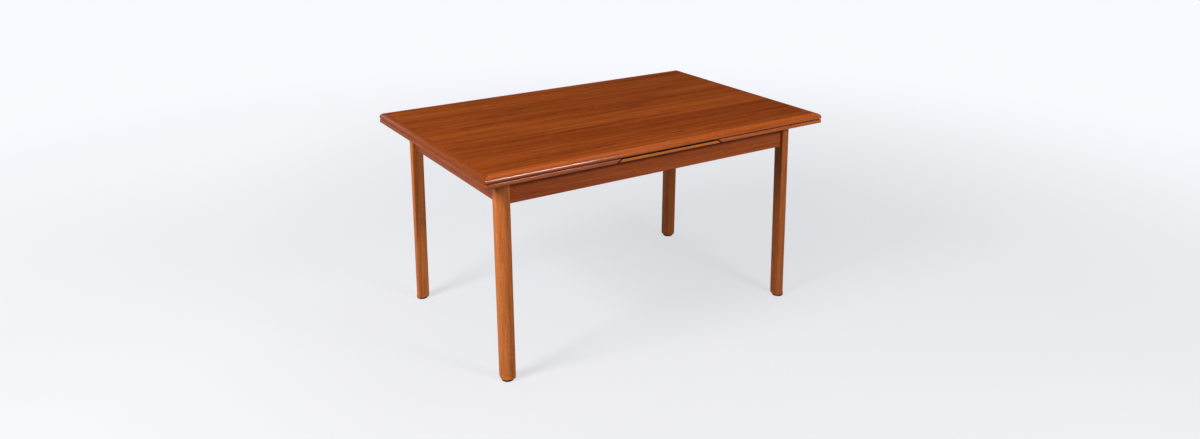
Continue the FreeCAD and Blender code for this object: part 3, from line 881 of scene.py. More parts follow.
class Workshop:
    """Turns finished meshes into pieces that ride on the table's bodies."""

    def __init__(self) -> None:
        """Build the shared effects and every finish once."""
        effects = SharedEffects()
        self.materials = {key: finish.material(effects) for key, finish in FINISHES.items()}

    def dress(self, node: str, finish: str) -> None:
        """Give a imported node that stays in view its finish.

        Args:
            node: The node's name.
            finish: Which finish it gets.
        """
        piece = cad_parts[node]
        for slot in piece.material_slots:
            slot.material = self.materials[finish]
        LOG.info("dressed %s", node)

    def piece(self, mesh: Mesh, node: str, finish: str, body: Body, slot: Slot) -> bpy.types.Object:
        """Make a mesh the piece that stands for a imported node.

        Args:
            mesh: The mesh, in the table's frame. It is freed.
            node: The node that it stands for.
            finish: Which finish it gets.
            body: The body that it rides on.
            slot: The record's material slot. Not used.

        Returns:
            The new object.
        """
        made = self.new_piece(mesh, node + "_dressed", finish, body)
        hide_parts(node)
        return made

    def new_piece(self, mesh: Mesh, name: str, finish: str, body: Body) -> bpy.types.Object:
        """Make a mesh a piece of its own.

        Args:
            mesh: The mesh, in the table's frame. It is freed.
            name: The piece's name.
            finish: Which finish it gets.
            body: The body that it rides on.

        Returns:
            The new object.
        """
        bmesh.ops.remove_doubles(mesh, verts=mesh.verts, dist=MERGE_DISTANCE)
        bmesh.ops.recalc_face_normals(mesh, faces=mesh.faces)
        data = bpy.data.meshes.new(name + "_shape")
        mesh.to_mesh(data)
        mesh.free()
        data.shade_smooth()
        data.set_sharp_from_angle(angle=math.radians(50))
        data.materials.append(self.materials[finish])
        made = new_object(name, data)
        even = made.modifiers.new("even_faces", "WEIGHTED_NORMAL")
        even.keep_sharp = True
        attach(made, body.value)
        LOG.info("made %s with %d faces", made.name, len(data.polygons))
        return made


def only(parts: list, kind: type) -> list:
    """Those of a mesh's parts that are of one kind."""
    return [part for part in parts if isinstance(part, kind)]


def cut_away(mesh: Mesh, point: Point, outward: Point) -> None:
    """Saw a solid mesh along a plane and close the cut.

    Args:
        mesh: The mesh to saw.
        point: A point on the plane.
        outward: The direction of the side that goes.
    """
    parts = [*mesh.verts, *mesh.edges, *mesh.faces]
    result = bmesh.ops.bisect_plane(
        mesh,
        geom=parts,
        dist=MERGE_DISTANCE,
        plane_co=point,
        plane_no=outward,
        clear_outer=True,
    )
    bmesh.ops.edgeloop_fill(mesh, edges=only(result["geom_cut"], bmesh.types.BMEdge))


def round_off(
    mesh: Mesh,
    parts: list,
    width: float,
    segments: int,
    affect: str = "EDGES",
    clamp: bool = False,
) -> None:
    """Round edges or corners off.

    Args:
        mesh: The mesh to work on.
        parts: Its edges or vertices.
        width: How much is taken off.
        segments: Into how many facets.
        affect: Whether the parts are EDGES or VERTICES.
        clamp: Whether roundings stop where they would overlap.
    """
    bmesh.ops.bevel(
        mesh,
        geom=parts,
        offset=width,
        segments=segments,
        profile=0.5,
        affect=affect,
        material=-1,
        clamp_overlap=clamp,
    )


def ease(mesh: Mesh, width: float, segments: int = 2, sharper: float = 40.0) -> None:
    """Take off every arris that is sharper than an angle.

    Args:
        mesh: The mesh to work on.
        width: How wide the arris is taken off.
        segments: Into how many facets.
        sharper: The angle, in degrees.
    """
    bmesh.ops.recalc_face_normals(mesh, faces=mesh.faces)
    limit = math.radians(sharper)
    edges = [e for e in mesh.edges if len(e.link_faces) == 2 and e.calc_face_angle(0.0) > limit]
    round_off(mesh, edges, width, segments, clamp=True)


def new_block(corner: Point, opposite: Point) -> Mesh:
    """A squared block between two corners.

    Args:
        corner: One corner.
        opposite: The corner across the block.

    Returns:
        The mesh.
    """
    mesh = bmesh.new()
    bmesh.ops.create_cube(mesh, size=1.0)
    low = Vector([min(pair) for pair in zip(corner, opposite)])
    high = Vector([max(pair) for pair in zip(corner, opposite)])
    bmesh.ops.scale(mesh, vec=high - low, verts=mesh.verts)
    bmesh.ops.translate(mesh, vec=(low + high) / 2, verts=mesh.verts)
    return mesh


def turned_shape(profile: Profile, steps: int, closed: bool = False) -> Mesh:
    """Turn a profile about the Z axis, as on a lathe.

    Args:
        profile: Points as radius and height.
        steps: How many facets go round.
        closed: Whether the last point joins the first, as for a ring.

    Returns:
        The mesh.
    """
    mesh = bmesh.new()
    points = [mesh.verts.new((radius, 0.0, height)) for radius, height in profile]
    chain = [mesh.edges.new(pair) for pair in zip(points, points[1:])]
    if closed:
        chain.append(mesh.edges.new((points[-1], points[0])))
    bmesh.ops.spin(
        mesh,
        geom=points + chain,
        cent=(0.0, 0.0, 0.0),
        axis=(0.0, 0.0, 1.0),
        angle=2 * math.pi,
        steps=steps,
        use_merge=True,
    )
    bmesh.ops.remove_doubles(mesh, verts=mesh.verts, dist=MERGE_DISTANCE)
    bmesh.ops.recalc_face_normals(mesh, faces=mesh.faces)
    return mesh


def rounded_rim(radius: float, foot: float, rim: float, steps: int = 5) -> Profile:
    """The rounded lower rim of a turned shape.

    Args:
        radius: The shape's radius above the rim.
        foot: Height of its underside.
        rim: Radius of the rounding.
        steps: Into how many facets.

    Returns:
        Points as radius and height, from below.
    """
    turns = [math.pi / 2 * step / steps for step in range(steps + 1)]
    return [(radius - rim + rim * math.sin(turn), foot + rim - rim * math.cos(turn)) for turn in turns]


def raise_faces(mesh: Mesh, faces: list, height: float) -> list:
    """Extrude faces upwards.

    Args:
        mesh: The mesh that they are in.
        faces: The faces.
        height: How far they go up.

    Returns:
        The faces at their new height.
    """
    raised = bmesh.ops.extrude_face_region(mesh, geom=faces)["geom"]
    bmesh.ops.translate(mesh, vec=(0.0, 0.0, height), verts=only(raised, bmesh.types.BMVert))
    return only(raised, bmesh.types.BMFace)


def join_into(mesh: Mesh, shape: Mesh) -> None:
    """Add a shape to a mesh.

    Args:
        mesh: The mesh that takes it up.
        shape: The shape. It is freed.
    """
    copy = bpy.data.meshes.new("joined_shape")
    shape.to_mesh(copy)
    shape.free()
    mesh.from_mesh(copy)
    bpy.data.meshes.remove(copy)


def at_places(shape: Mesh, places: list[Matrix]) -> Mesh:
    """Copies of a shape at several places, in one mesh.

    Args:
        shape: The shape at the origin. It is freed.
        places: Where each copy goes.

    Returns:
        The mesh of all copies.
    """
    start = [*shape.verts, *shape.edges, *shape.faces]
    for place in places:
        copy = bmesh.ops.duplicate(shape, geom=start)["geom"]
        bmesh.ops.transform(shape, matrix=place, verts=only(copy, bmesh.types.BMVert))
    bmesh.ops.delete(shape, geom=only(start, bmesh.types.BMVert), context="VERTS")
    return shape


@dataclass(frozen=True)
class NoseShape:
    """How far the upper and the lower outer arris of a strip are rounded."""

    upper: float
    lower: float


FACING = {
    "front": Vector((0.0, -1.0, 0.0)),
    "back": Vector((0.0, 1.0, 0.0)),
    "left": Vector((-1.0, 0.0, 0.0)),
    "right": Vector((1.0, 0.0, 0.0)),
}
TOP_NOSE = NoseShape(upper=0.0170, lower=0.0016)
LEAF_NOSE = NoseShape(upper=0.0025, lower=0.0038)


@dataclass(frozen=True)
class BoardSizes:
    """Sizes that top, leaves and bridge share."""

    length: float = 1.340
    width: float = 0.872
    lipping: float = 0.020
    corner_round: float = 0.004
    corner_facets: int = 4
    joint_ease: float = 0.00022
    round_facets: int = 12
    bevel_run: float = 0.017
    bevel_rise: float = 0.013

    @property
    def half_length(self) -> float:
        """Half the table's length."""
        return self.length / 2

    @property
    def half_width(self) -> float:
        """Half the table's width."""
        return self.width / 2

    def strip(self, facing: Vector, under: float, thickness: float, nose: NoseShape) -> Mesh:
        """A lipping along one whole side of the table, with its outer arrises rounded.

        Args:
            facing: Which way the side faces, along X or Y.
            under: Height of its underside.
            thickness: Its thickness.
            nose: How its outer arrises are rounded.

        Returns:
            The mesh.
        """
        reach = self.half_length if facing.x else self.half_width
        run = self.half_width if facing.x else self.half_length
        along = Vector((abs(facing.y), abs(facing.x), 0.0))
        outer = facing * reach + along * run
        inner = facing * (reach - self.lipping) - along * run
        mesh = new_block((outer.x, outer.y, under), (inner.x, inner.y, under + thickness))
        for height, radius in ((under, nose.lower), (under + thickness, nose.upper)):
            arris = []
            for edge in mesh.edges:
                outside = all(abs(v.co.dot(facing) - reach) < NEARNESS for v in edge.verts)
                if outside and all(abs(v.co.z - height) < NEARNESS for v in edge.verts):
                    arris.append(edge)
            round_off(mesh, arris, radius, self.round_facets)
        return mesh

    def mitre(self, mesh: Mesh, facing: Vector, end: float) -> None:
        """Saw one end of a strip at 45 degrees and round its tip.

        Args:
            mesh: The strip.
            facing: Which way its side faces.
            end: Which end, as the sign of X or Y along the strip.
        """
        along = Vector((abs(facing.y), abs(facing.x), 0.0)) * end
        corner = Vector((self.half_length, self.half_width, 0.0)) * (along + facing)
        cut_away(mesh, corner, along - facing)
        centre = corner - (along + facing) * self.corner_round
        for step in range(self.corner_facets):
            angle = math.pi / 4 * (step + 0.5) / self.corner_facets
            outward = facing * math.cos(angle) + along * math.sin(angle)
            cut_away(mesh, centre + outward * self.corner_round, outward)


@dataclass
class LooseTop:
    """The loose top: veneered panel, mitred lippings, dark felt strips that paint shade into the gap above
    the leaves, and guide pegs.
    """

    boards: BoardSizes
    under: float = 0.711
    thickness: float = 0.019
    felt_setback: float = 0.0025
    felt_width: float = 0.008
    felt_height: float = 0.0024
    felt_end_gap: float = 0.014
    felt_soft: float = 0.0006
    peg_x: float = 0.100
    peg_radius: float = 0.010
    peg_length: float = 0.045
    peg_round: float = 0.003
    groove_middle: float = 0.0115
    groove_width: float = 0.0008
    groove_depth: float = 0.0006
    body: Body = Body.TOP

    def build(self, shop: Workshop) -> None:
        """Make and dress the top's pieces."""
        self.build_panel(shop)
        self.build_lippings(shop)
        self.build_gap_shade_felts(shop)
        self.build_pegs(shop)

    def build_panel(self, shop: Workshop) -> None:
        """The panel, its arrises eased where it meets the lippings."""
        inner_x = self.boards.half_length - self.boards.lipping
        inner_y = self.boards.half_width - self.boards.lipping
        mesh = new_block((-inner_x, -inner_y, self.under), (inner_x, inner_y, self.under + self.thickness))
        ease(mesh, self.boards.joint_ease)
        shop.piece(mesh, "top_panel", "top_veneer", self.body, Slot.VENEER)

    def build_lippings(self, shop: Workshop) -> None:
        """Four strips with rounded noses, mitred at the corners."""
        for side, facing in FACING.items():
            finish = "lipping_y" if facing.x else "lipping_x"
            mesh = self.boards.strip(facing, self.under, self.thickness, TOP_NOSE)
            for end in (-1.0, 1.0):
                self.boards.mitre(mesh, facing, end)
            ease(mesh, self.boards.joint_ease)
            shop.piece(mesh, "top_lipping_" + side, finish, self.body, Slot.LIPPING)

    def build_gap_shade_felts(self, shop: Workshop) -> None:
        """Thin dark felt strips under the lippings, in the gap above the leaves: a dark sheet that stands in
        for the gap's shade.
        """
        for name, half, across in (
            ("long", self.boards.half_width, self.boards.half_length),
            ("end", self.boards.half_length, self.boards.half_width),
        ):
            reach = half - self.felt_setback
            run = across - self.felt_end_gap - (self.felt_width if name == "end" else 0.0)
            low = (-run, reach - self.felt_width, self.under - self.felt_height)
            strip = new_block(low, (run, reach, self.under))
            ease(strip, self.felt_soft, segments=3)
            start = 0.0 if name == "long" else math.pi / 2
            places = [Matrix.Rotation(start + turn, 4, "Z") for turn in (0.0, math.pi)]
            # These dark strips paint shade into the gap above the leaves.
            shop.new_piece(at_places(strip, places), f"top_{name}_felts", "gap_shade_felt", self.body)

    def build_pegs(self, shop: Workshop) -> None:
        """Turned pegs with a rounded nose, and a fine groove that lets glue out."""
        foot = -self.peg_length
        nose = [(0.0, foot), *rounded_rim(self.peg_radius, foot, self.peg_round)]
        flat = self.groove_width / 2
        bottom = self.peg_radius - self.groove_depth
        groove = [
            (self.peg_radius, -self.groove_middle - flat - self.groove_depth),
            (bottom, -self.groove_middle - flat),
            (bottom, -self.groove_middle + flat),
            (self.peg_radius, -self.groove_middle + flat + self.groove_depth),
        ]
        profile = nose + groove + [(self.peg_radius, 0.0), (0.0, 0.0)]
        shape = turned_shape(profile, 40)
        places = [Matrix.Translation((x, 0.0, self.under)) for x in (-self.peg_x, self.peg_x)]
        shop.piece(at_places(shape, places), "guide_pegs", "beech_z", self.body, Slot.BEECH)


@dataclass
class FeltRings:
    """Loose felt rings round the guide pegs."""

    peg_x: float = 0.100
    under: float = 0.7055
    height: float = 0.0054
    outer: float = 0.023
    inner: float = 0.0112
    soft: float = 0.0007
    body: Body = Body.RINGS

    def build(self, shop: Workshop) -> None:
        """Make the rings, with rims pressed a little round."""
        profile = [
            (self.inner, self.soft),
            (self.inner + self.soft, 0.0),
            (self.outer - self.soft, 0.0),
            (self.outer, self.soft),
            (self.outer, self.height - self.soft),
            (self.outer - self.soft, self.height),
            (self.inner + self.soft, self.height),
            (self.inner, self.height - self.soft),
        ]
        shape = turned_shape(profile, 48, closed=True)
        places = [Matrix.Translation((x, 0.0, self.under)) for x in (-self.peg_x, self.peg_x)]
        shop.piece(at_places(shape, places), "felt_rings", "felt", self.body, Slot.FELT)


@dataclass
class DrawLeaf:
    """One leaf with its lippings, runners, screws and stops."""

    side: Side
    boards: BoardSizes
    under: float = 0.695
    thickness: float = 0.013
    inner_lipping: float = 0.030
    bevel_top: float = 0.1945
    stop_chamfer: float = 0.0012
    stop_dome: float = 0.0005

    @property
    def word(self) -> str:
        """The side's name at the start of the leaf's nodes."""
        return "left" if self.side is Side.LEFT else "right"

    @property
    def body(self) -> Body:
        """The body that the leaf's pieces ride on."""
        return Body.LEFT_LEAF if self.side is Side.LEFT else Body.RIGHT_LEAF

    def build(self, shop: Workshop) -> None:
        """Make and dress the leaf's pieces."""
        self.build_panel(shop)
        self.build_edges(shop)
        self.build_end(shop)
        self.build_inner(shop)
        for name in ("runner_front", "runner_back"):
            shop.dress(f"{self.word}_{name}", "beech_x")
        self.build_stops(shop)

    def panel_span(self) -> tuple[float, float]:
        """Where the panel starts and ends along X, at the end's and the bridge's side."""
        out = self.side.value
        outer = out * (self.boards.half_length - self.boards.lipping)
        inner = out * (self.bevel_top + self.boards.bevel_run + self.inner_lipping)
        return outer, inner

    def cut_bevel(self, mesh: Mesh) -> None:
        """Saw the inner end along its bevel."""
        out = self.side.value
        edge = (out * self.bevel_top, 0.0, self.under + self.thickness)
        cut_away(mesh, edge, (-out * self.boards.bevel_rise, 0.0, -self.boards.bevel_run))

    def build_panel(self, shop: Workshop) -> None:
        """The veneered panel between the leaf's lippings."""
        outer, inner = self.panel_span()
        inner_y = self.boards.half_width - self.boards.lipping
        mesh = new_block((outer, -inner_y, self.under), (inner, inner_y, self.under + self.thickness))
        ease(mesh, self.boards.joint_ease)
        shop.piece(mesh, f"{self.word}_leaf_panel", "leaf_veneer", self.body, Slot.VENEER)

    def build_edges(self, shop: Workshop) -> None:
        """The long lippings, mitred at the end and bevelled at the bridge."""
        for name in ("front", "back"):
            mesh = self.boards.strip(FACING[name], self.under, self.thickness, LEAF_NOSE)
            self.boards.mitre(mesh, FACING[name], float(self.side.value))
            self.cut_bevel(mesh)
            ease(mesh, self.boards.joint_ease)
            finish = f"{self.word}_leaf_lipping"
            shop.piece(mesh, f"{finish}_{name}", finish, self.body, Slot.LIPPING)

    def build_end(self, shop: Workshop) -> None:
        """The lipping across the leaf's outer end."""
        facing = FACING[self.word]
        mesh = self.boards.strip(facing, self.under, self.thickness, LEAF_NOSE)
        for end in (-1.0, 1.0):
            self.boards.mitre(mesh, facing, end)
        ease(mesh, self.boards.joint_ease)
        shop.piece(mesh, f"{self.word}_leaf_lipping_end", "end_leaf_lipping", self.body, Slot.LIPPING)

    def build_inner(self, shop: Workshop) -> None:
        """The lipping at the bridge, with the bevel that closes onto it."""
        _, inner = self.panel_span()
        far = self.side.value * self.bevel_top
        inner_y = self.boards.half_width - self.boards.lipping
        mesh = new_block((inner, -inner_y, self.under), (far, inner_y, self.under + self.thickness))
        self.cut_bevel(mesh)
        ease(mesh, self.boards.joint_ease)
        shop.piece(mesh, f"{self.word}_leaf_lipping_inner", "end_leaf_lipping", self.body, Slot.LIPPING)

    def build_stops(self, shop: Workshop) -> None:
        """Dowels through the runners' inner ends, chamfered where they stick out."""
        node = f"{self.word}_runner_stops"
        low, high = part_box(node)
        radius = (high[0] - low[0]) / 2
        height = high[2] - low[2]
        profile = [
            (0.0, 0.0),
            (radius - self.stop_chamfer, 0.0),
            (radius, self.stop_chamfer),
            (radius, height - self.stop_dome),
            (0.0, height),
        ]
        shape = turned_shape(profile, 36)
        middle = (low[0] + high[0]) / 2
        places = [Matrix.Translation((middle, y, low[2])) for y in (low[1] + radius, high[1] - radius)]
        shop.piece(at_places(shape, places), node, "beech_z", self.body, Slot.BEECH)


@dataclass
class Bridge:
    """The fixed bridge between the leaves, with its felts and cleats."""

    boards: BoardSizes
    under: float = 0.695
    thickness: float = 0.0105
    half_foot: float = 0.208
    felt_x: float = 0.160
    felt_width: float = 0.020
    felt_height: float = 0.0054
    felt_end_gap: float = 0.060
    felt_soft: float = 0.0007
    body: Body = Body.FRAME

    def build(self, shop: Workshop) -> None:
        """Make and dress the bridge's pieces."""
        shop.dress("bridge_panel", "leaf_veneer")
        self.build_lippings(shop)
        self.build_felts(shop)
        for name in ("bridge_cleat_front", "bridge_cleat_back"):
            shop.dress(name, "beech_x")

    def build_lippings(self, shop: Workshop) -> None:
        """The strips along the front and back edge, bevelled at both ends."""
        for name in ("front", "back"):
            mesh = self.boards.strip(FACING[name], self.under, self.thickness, LEAF_NOSE)
            for along in (-1.0, 1.0):
                foot = (along * self.half_foot, 0.0, self.under)
                cut_away(mesh, foot, (along * self.boards.bevel_rise, 0.0, self.boards.bevel_run))
            ease(mesh, self.boards.joint_ease)
            shop.piece(mesh, f"bridge_lipping_{name}", "bridge_lipping", self.body, Slot.LIPPING)

    def build_felts(self, shop: Workshop) -> None:
        """Two strips of felt, soft at their edges."""
        half_y = self.boards.half_width - self.felt_end_gap
        top = self.under + self.thickness
        low = (-self.felt_width / 2, -half_y, top)
        strip = new_block(low, (self.felt_width / 2, half_y, top + self.felt_height))
        ease(strip, self.felt_soft, segments=3)
        places = [Matrix.Translation((x, 0.0, 0.0)) for x in (-self.felt_x, self.felt_x)]
        shop.piece(at_places(strip, places), "bridge_felts", "felt", self.body, Slot.FELT)


@dataclass
class Leg:
    """One splayed leg: square, with a well rounded outer corner and a foot that is softened all round."""

    corner: str
    face: tuple[float, float] = (0.5955, 0.3635)
    width: float = 0.0425
    top: float = 0.691
    foot: float = 0.006
    splay: tuple[float, float] = (0.014, 0.019)
    outer_round: float = 0.0255
    side_round: float = 0.0035
    inner_round: float = 0.004
    foot_round: float = 0.0030
    foot_steps: int = 6
    soft_levels: tuple[float, ...] = (0.0045, 0.0065, 0.0085, 0.0115)
    soft_height: float = 0.015
    soft_radius: float = 0.0248
    softness: float = 0.5
    glide_radius: float = 0.0207
    glide_rim: float = 0.0024
    glide_ease: float = 0.0006
    nail_hole: tuple[tuple[float, float], ...] = (
        (0.0, 0.0016),
        (0.0032, 0.0016),
        (0.0036, 0.0008),
        (0.0046, 0.0004),
        (0.0062, 0.0),
    )
    body: Body = Body.FRAME

    def build(self, shop: Workshop) -> None:
        """Make and dress the leg and its glide."""
        mesh = self.section()
        turns = [math.pi / 2 * step / self.foot_steps for step in range(1, self.foot_steps + 1)]
        rise = [self.foot_round * (1.0 - math.cos(turn)) for turn in turns]
        rise += [*self.soft_levels, self.soft_height, self.top - self.foot]
        face = mesh.faces[:]
        height = 0.0
        for level in rise:
            face = raise_faces(mesh, face, level - height)
            height = level
        for vertex in mesh.verts:
            vertex.co = self.shaped(vertex.co)
        bmesh.ops.scale(mesh, vec=self.signs, verts=mesh.verts)
        shop.piece(mesh, "leg_" + self.corner, "leg", self.body, Slot.SOLID)
        self.build_glide(shop)

    @property
    def signs(self) -> Point:
        """What the back right leg's axes are multiplied by for this corner."""
        return (1.0 if "right" in self.corner else -1.0, 1.0 if "back" in self.corner else -1.0, 1.0)

    def build_glide(self, shop: Workshop) -> None:
        """The moulded glide under the foot, round at its rim and sunk where its nail goes in."""
        profile = [*self.nail_hole, *rounded_rim(self.glide_radius, 0.0, self.glide_rim)]
        profile.append((self.glide_radius, self.foot - self.glide_ease))
        profile.append((self.glide_radius - self.glide_ease, self.foot))
        profile.append((0.0, self.foot))
        middle = self.shaped(Vector((0.0, 0.0, 0.0)))
        spot = Vector((middle.x, middle.y, 0.0)) * Vector(self.signs)
        shape = at_places(turned_shape(profile, 48), [Matrix.Translation(spot)])
        shop.piece(shape, "glide_" + self.corner, "glide", self.body, Slot.GLIDE)

    def section(self) -> Mesh:
        """The leg's plan as one flat face round the origin, its outer corner at +X and +Y.

        Returns:
            The mesh.
        """
        mesh = bmesh.new()
        bmesh.ops.create_grid(mesh, x_segments=1, y_segments=1, size=self.width / 2)
        for corner in mesh.verts[:]:
            outward = (corner.co.x > 0) + (corner.co.y > 0)
            radius = (self.inner_round, self.side_round, self.outer_round)[outward]
            round_off(mesh, [corner], radius, 4 + 4 * (outward == 2), "VERTICES")
        sides = [edge for edge in mesh.edges if edge.calc_length() > 0.008]
        bmesh.ops.subdivide_edges(mesh, edges=sides, cuts=4)
        return mesh

    def shaped(self, place: Vector) -> Vector:
        """Carry a point of the straight blank to the softened, splayed leg of the back right corner.

        Args:
            place: The point, in the plan's own axes and above the foot.

        Returns:
            The point in the table's axes.
        """
        level = Vector((place.x, place.y, 0.0))
        share = self.softness * max(0.0, 1.0 - place.z / self.soft_height) ** 2
        level = level.lerp(level.normalized() * self.soft_radius, share)
        if place.z < self.foot_round:
            drop = self.foot_round - place.z
            level -= level.normalized() * (self.foot_round - math.sqrt(self.foot_round**2 - drop**2))
        out = (self.top - self.foot - place.z) / self.top
        x = self.face[0] - self.width / 2 + self.splay[0] * out
        y = self.face[1] - self.width / 2 + self.splay[1] * out
        return Vector((x, y, self.foot + place.z)) + level


@dataclass
class Underframe:
    """Legs, aprons, rail, corner blocks and glides."""

    corners: tuple[str, ...] = ("front_left", "front_right", "back_left", "back_right")

    def build(self, shop: Workshop) -> None:
        """Make the legs and dress the underframe's nodes."""
        for corner in self.corners:
            Leg(corner).build(shop)
            shop.dress("corner_block_" + corner, "beech_z")
        for name in ("apron_front", "apron_back"):
            shop.dress(name, "apron_x")
        for name in ("apron_left", "apron_right"):
            shop.dress(name, "apron_y")
        shop.dress("runner_rail", "beech_y")


@dataclass(frozen=True)
class ScrewShape:
    """A slotted wood screw."""

    head_radius: float = 0.004
    head_height: float = 0.0026
    dome: float = 0.0012
    shank_radius: float = 0.002
    point: float = 0.004
    slot: float = 0.0011
    cap_flat: float = 0.55
    cap_overlap: float = 0.0002
    facets: int = 28

    def build(self, length: float) -> Mesh:
        """Turn the screw with its seat at the origin and its point upwards, then saw the slot.

        Args:
            length: From the seat to the point.

        Returns:
            The mesh.
        """
        base = self.dome - self.head_height
        profile = [
            (0.0, base),
            (self.head_radius, base),
            (self.head_radius, 0.0),
            (self.shank_radius, 0.0),
            (self.shank_radius, length - self.point),
            (0.0, length),
        ]
        screw = turned_shape(profile, self.facets)
        for side in (-1.0, 1.0):
            cap = [(0.0, -self.head_height)]
            for step in range(1, 6):
                angle = math.pi / 2 * step / 5
                reach = self.head_radius * (self.cap_flat + (1.0 - self.cap_flat) * math.sin(angle))
                cap.append((reach, base - self.dome * math.cos(angle)))
            cap.append((self.head_radius, base + self.cap_overlap))
            cap.append((0.0, base + self.cap_overlap))
            half = turned_shape(cap, self.facets)
            cut_away(half, (0.0, side * self.slot / 2, 0.0), (0.0, -side, 0.0))
            join_into(screw, half)
        return screw


@dataclass
class Fasteners:
    """Screws, bolts, washers and nuts of the underframe and the slides."""

    screw: ScrewShape = field(default_factory=ScrewShape)
    bolt_radius: float = 0.004
    thread_pitch: float = 0.00125
    thread_depth: float = 0.0007
    threaded: float = 0.024
    bolt_leg_depth: float = 0.028
    bolt_tip: float = 0.004
    tip_chamfer: float = 0.001
    washer_radius: float = 0.010
    washer_thickness: float = 0.0016
    steel_round: float = 0.0004
    hole_radius: float = 0.00405
    nut_width: float = 0.013
    nut_height: float = 0.0065
    block_reach: float = 0.033
    block_middle: float = 0.64725
    bolt_spacing: float = 0.032
    block_screw: float = 0.019
    block_seat: float = 0.008
    block_half: float = 0.0125
    frame_top: float = 0.691
    leg_corner: tuple[float, float] = (0.554, 0.322)
    leg_splay: tuple[float, float] = (0.014, 0.019)

    def build(self, shop: Workshop) -> None:
        """Make every fastener."""
        self.build_upright_screws(shop, "left_runner_screws", Body.LEFT_LEAF, 3)
        self.build_upright_screws(shop, "right_runner_screws", Body.RIGHT_LEAF, 3)
        self.build_upright_screws(shop, "bridge_screws", Body.FRAME, 2)
        self.build_block_screws(shop)
        self.build_bolts(shop)
        self.build_washers(shop)
        self.build_nuts(shop)

    def build_upright_screws(self, shop: Workshop, node: str, body: Body, along: int) -> None:
        """Screws driven upwards in two rows.

        Args:
            shop: Where pieces are made.
            node: The screws' node.
            body: The body that they ride on.
            along: How many stand in each row.
        """
        low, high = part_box(node)
        head = self.screw.head_radius
        seat = low[2] + self.screw.head_height
        places = []
        for step in range(along):
            x = low[0] + head + (high[0] - low[0] - 2 * head) * step / (along - 1)
            for y in (low[1] + head, high[1] - head):
                turn = Matrix.Rotation(0.7 * step + 40.0 * y, 4, "Z")
                places.append(Matrix.Translation((x, y, seat)) @ turn)
        shop.piece(at_places(self.screw.build(high[2] - seat), places), node, "steel", body, Slot.STEEL)

    def build_block_screws(self, shop: Workshop) -> None:
        """Screws that go level through the corner blocks into the aprons."""
        node = "corner_block_screws"
        low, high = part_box(node)
        length = self.block_screw
        height = (low[2] + high[2]) / 2
        seat_x = high[0] - length
        seat_y = high[1] - length
        corner = self.inner_corner(self.block_middle)
        past_x = seat_x + self.block_seat - corner.x
        past_y = seat_y + self.block_seat - corner.y
        middle = (self.block_reach - self.block_half) * math.sqrt(2)
        along_x = corner.x - middle - past_y
        along_y = corner.y - middle - past_x
        places = []
        for sign_x in (-1.0, 1.0):
            for sign_y in (-1.0, 1.0):
                into_y = Vector((0.0, sign_y, 0.0)).to_track_quat("Z", "X").to_matrix().to_4x4()
                places.append(Matrix.Translation((sign_x * along_x, sign_y * seat_y, height)) @ into_y)
                into_x = Vector((sign_x, 0.0, 0.0)).to_track_quat("Z", "Y").to_matrix().to_4x4()
                places.append(Matrix.Translation((sign_x * seat_x, sign_y * along_y, height)) @ into_x)
        shop.piece(at_places(self.screw.build(length), places), node, "steel", Body.FRAME, Slot.STEEL)

    def inner_corner(self, height: float) -> Vector:
        """The back right leg's inner corner at a height."""
        share = (self.frame_top - height) / self.frame_top
        x = self.leg_corner[0] + self.leg_splay[0] * share
        return Vector((x, self.leg_corner[1] + self.leg_splay[1] * share, height))

    def block_face(self, height: float) -> float:
        """How far from the leg's inner corner the corner block's face lies at a height."""
        inward = Vector((-1.0, -1.0, 0.0)).normalized()
        level = Vector((1.0, 1.0, 0.0))
        offset = (self.inner_corner(self.block_middle) - self.inner_corner(height)) * level
        return offset.dot(inward) + self.block_reach

    def bolt_places(self, height: float, start: float) -> list[Matrix]:
        """Where the four bolts of one height are, turned so that their Z points inwards.

        Args:
            height: The bolts' height.
            start: How far inwards from the leg's inner corner.

        Returns:
            One place for each leg.
        """
        places = []
        corner = self.inner_corner(height)
        for sign_x in (-1.0, 1.0):
            for sign_y in (-1.0, 1.0):
                inward = Vector((-sign_x, -sign_y, 0.0)).normalized()
                spot = Vector((sign_x * corner.x, sign_y * corner.y, height)) + inward * start
                turn = inward.to_track_quat("Z", "Y").to_matrix().to_4x4()
                places.append(Matrix.Translation(spot) @ turn)
        return places

    def heights(self) -> tuple[float, float]:
        """Heights of the two bolts of a leg."""
        return self.block_middle - self.bolt_spacing / 2, self.block_middle + self.bolt_spacing / 2

    def collect(self, shop: Workshop, node: str, shapes: list[Mesh]) -> None:
        """Join shapes into the piece of one node.

        Args:
            shop: Where pieces are made.
            node: The node that they stand for.
            shapes: The shapes. They are freed.
        """
        joined = bmesh.new()
        for shape in shapes:
            join_into(joined, shape)
        shop.piece(joined, node, "steel", Body.FRAME, Slot.STEEL)

    def build_bolts(self, shop: Workshop) -> None:
        """Hanger bolts with the grooves of their thread and a chamfered tip."""
        shapes = []
        for height in self.heights():
            ahead = self.washer_thickness + self.nut_height + self.bolt_tip
            length = self.bolt_leg_depth + self.block_face(height) + ahead
            profile = [(0.0, 0.0), (self.bolt_radius, 0.0)]
            start = length - self.threaded
            turns = int((self.threaded - self.tip_chamfer) / self.thread_pitch)
            for step in range(turns):
                foot = start + step * self.thread_pitch
                profile.append((self.bolt_radius, foot))
                profile.append((self.bolt_radius - self.thread_depth, foot + self.thread_pitch / 2))
            profile.append((self.bolt_radius, start + turns * self.thread_pitch))
            profile.append((self.bolt_radius - self.tip_chamfer, length))
            profile.append((0.0, length))
            shape = turned_shape(profile, 24)
            shapes.append(at_places(shape, self.bolt_places(height, -self.bolt_leg_depth)))
        self.collect(shop, "leg_bolts", shapes)

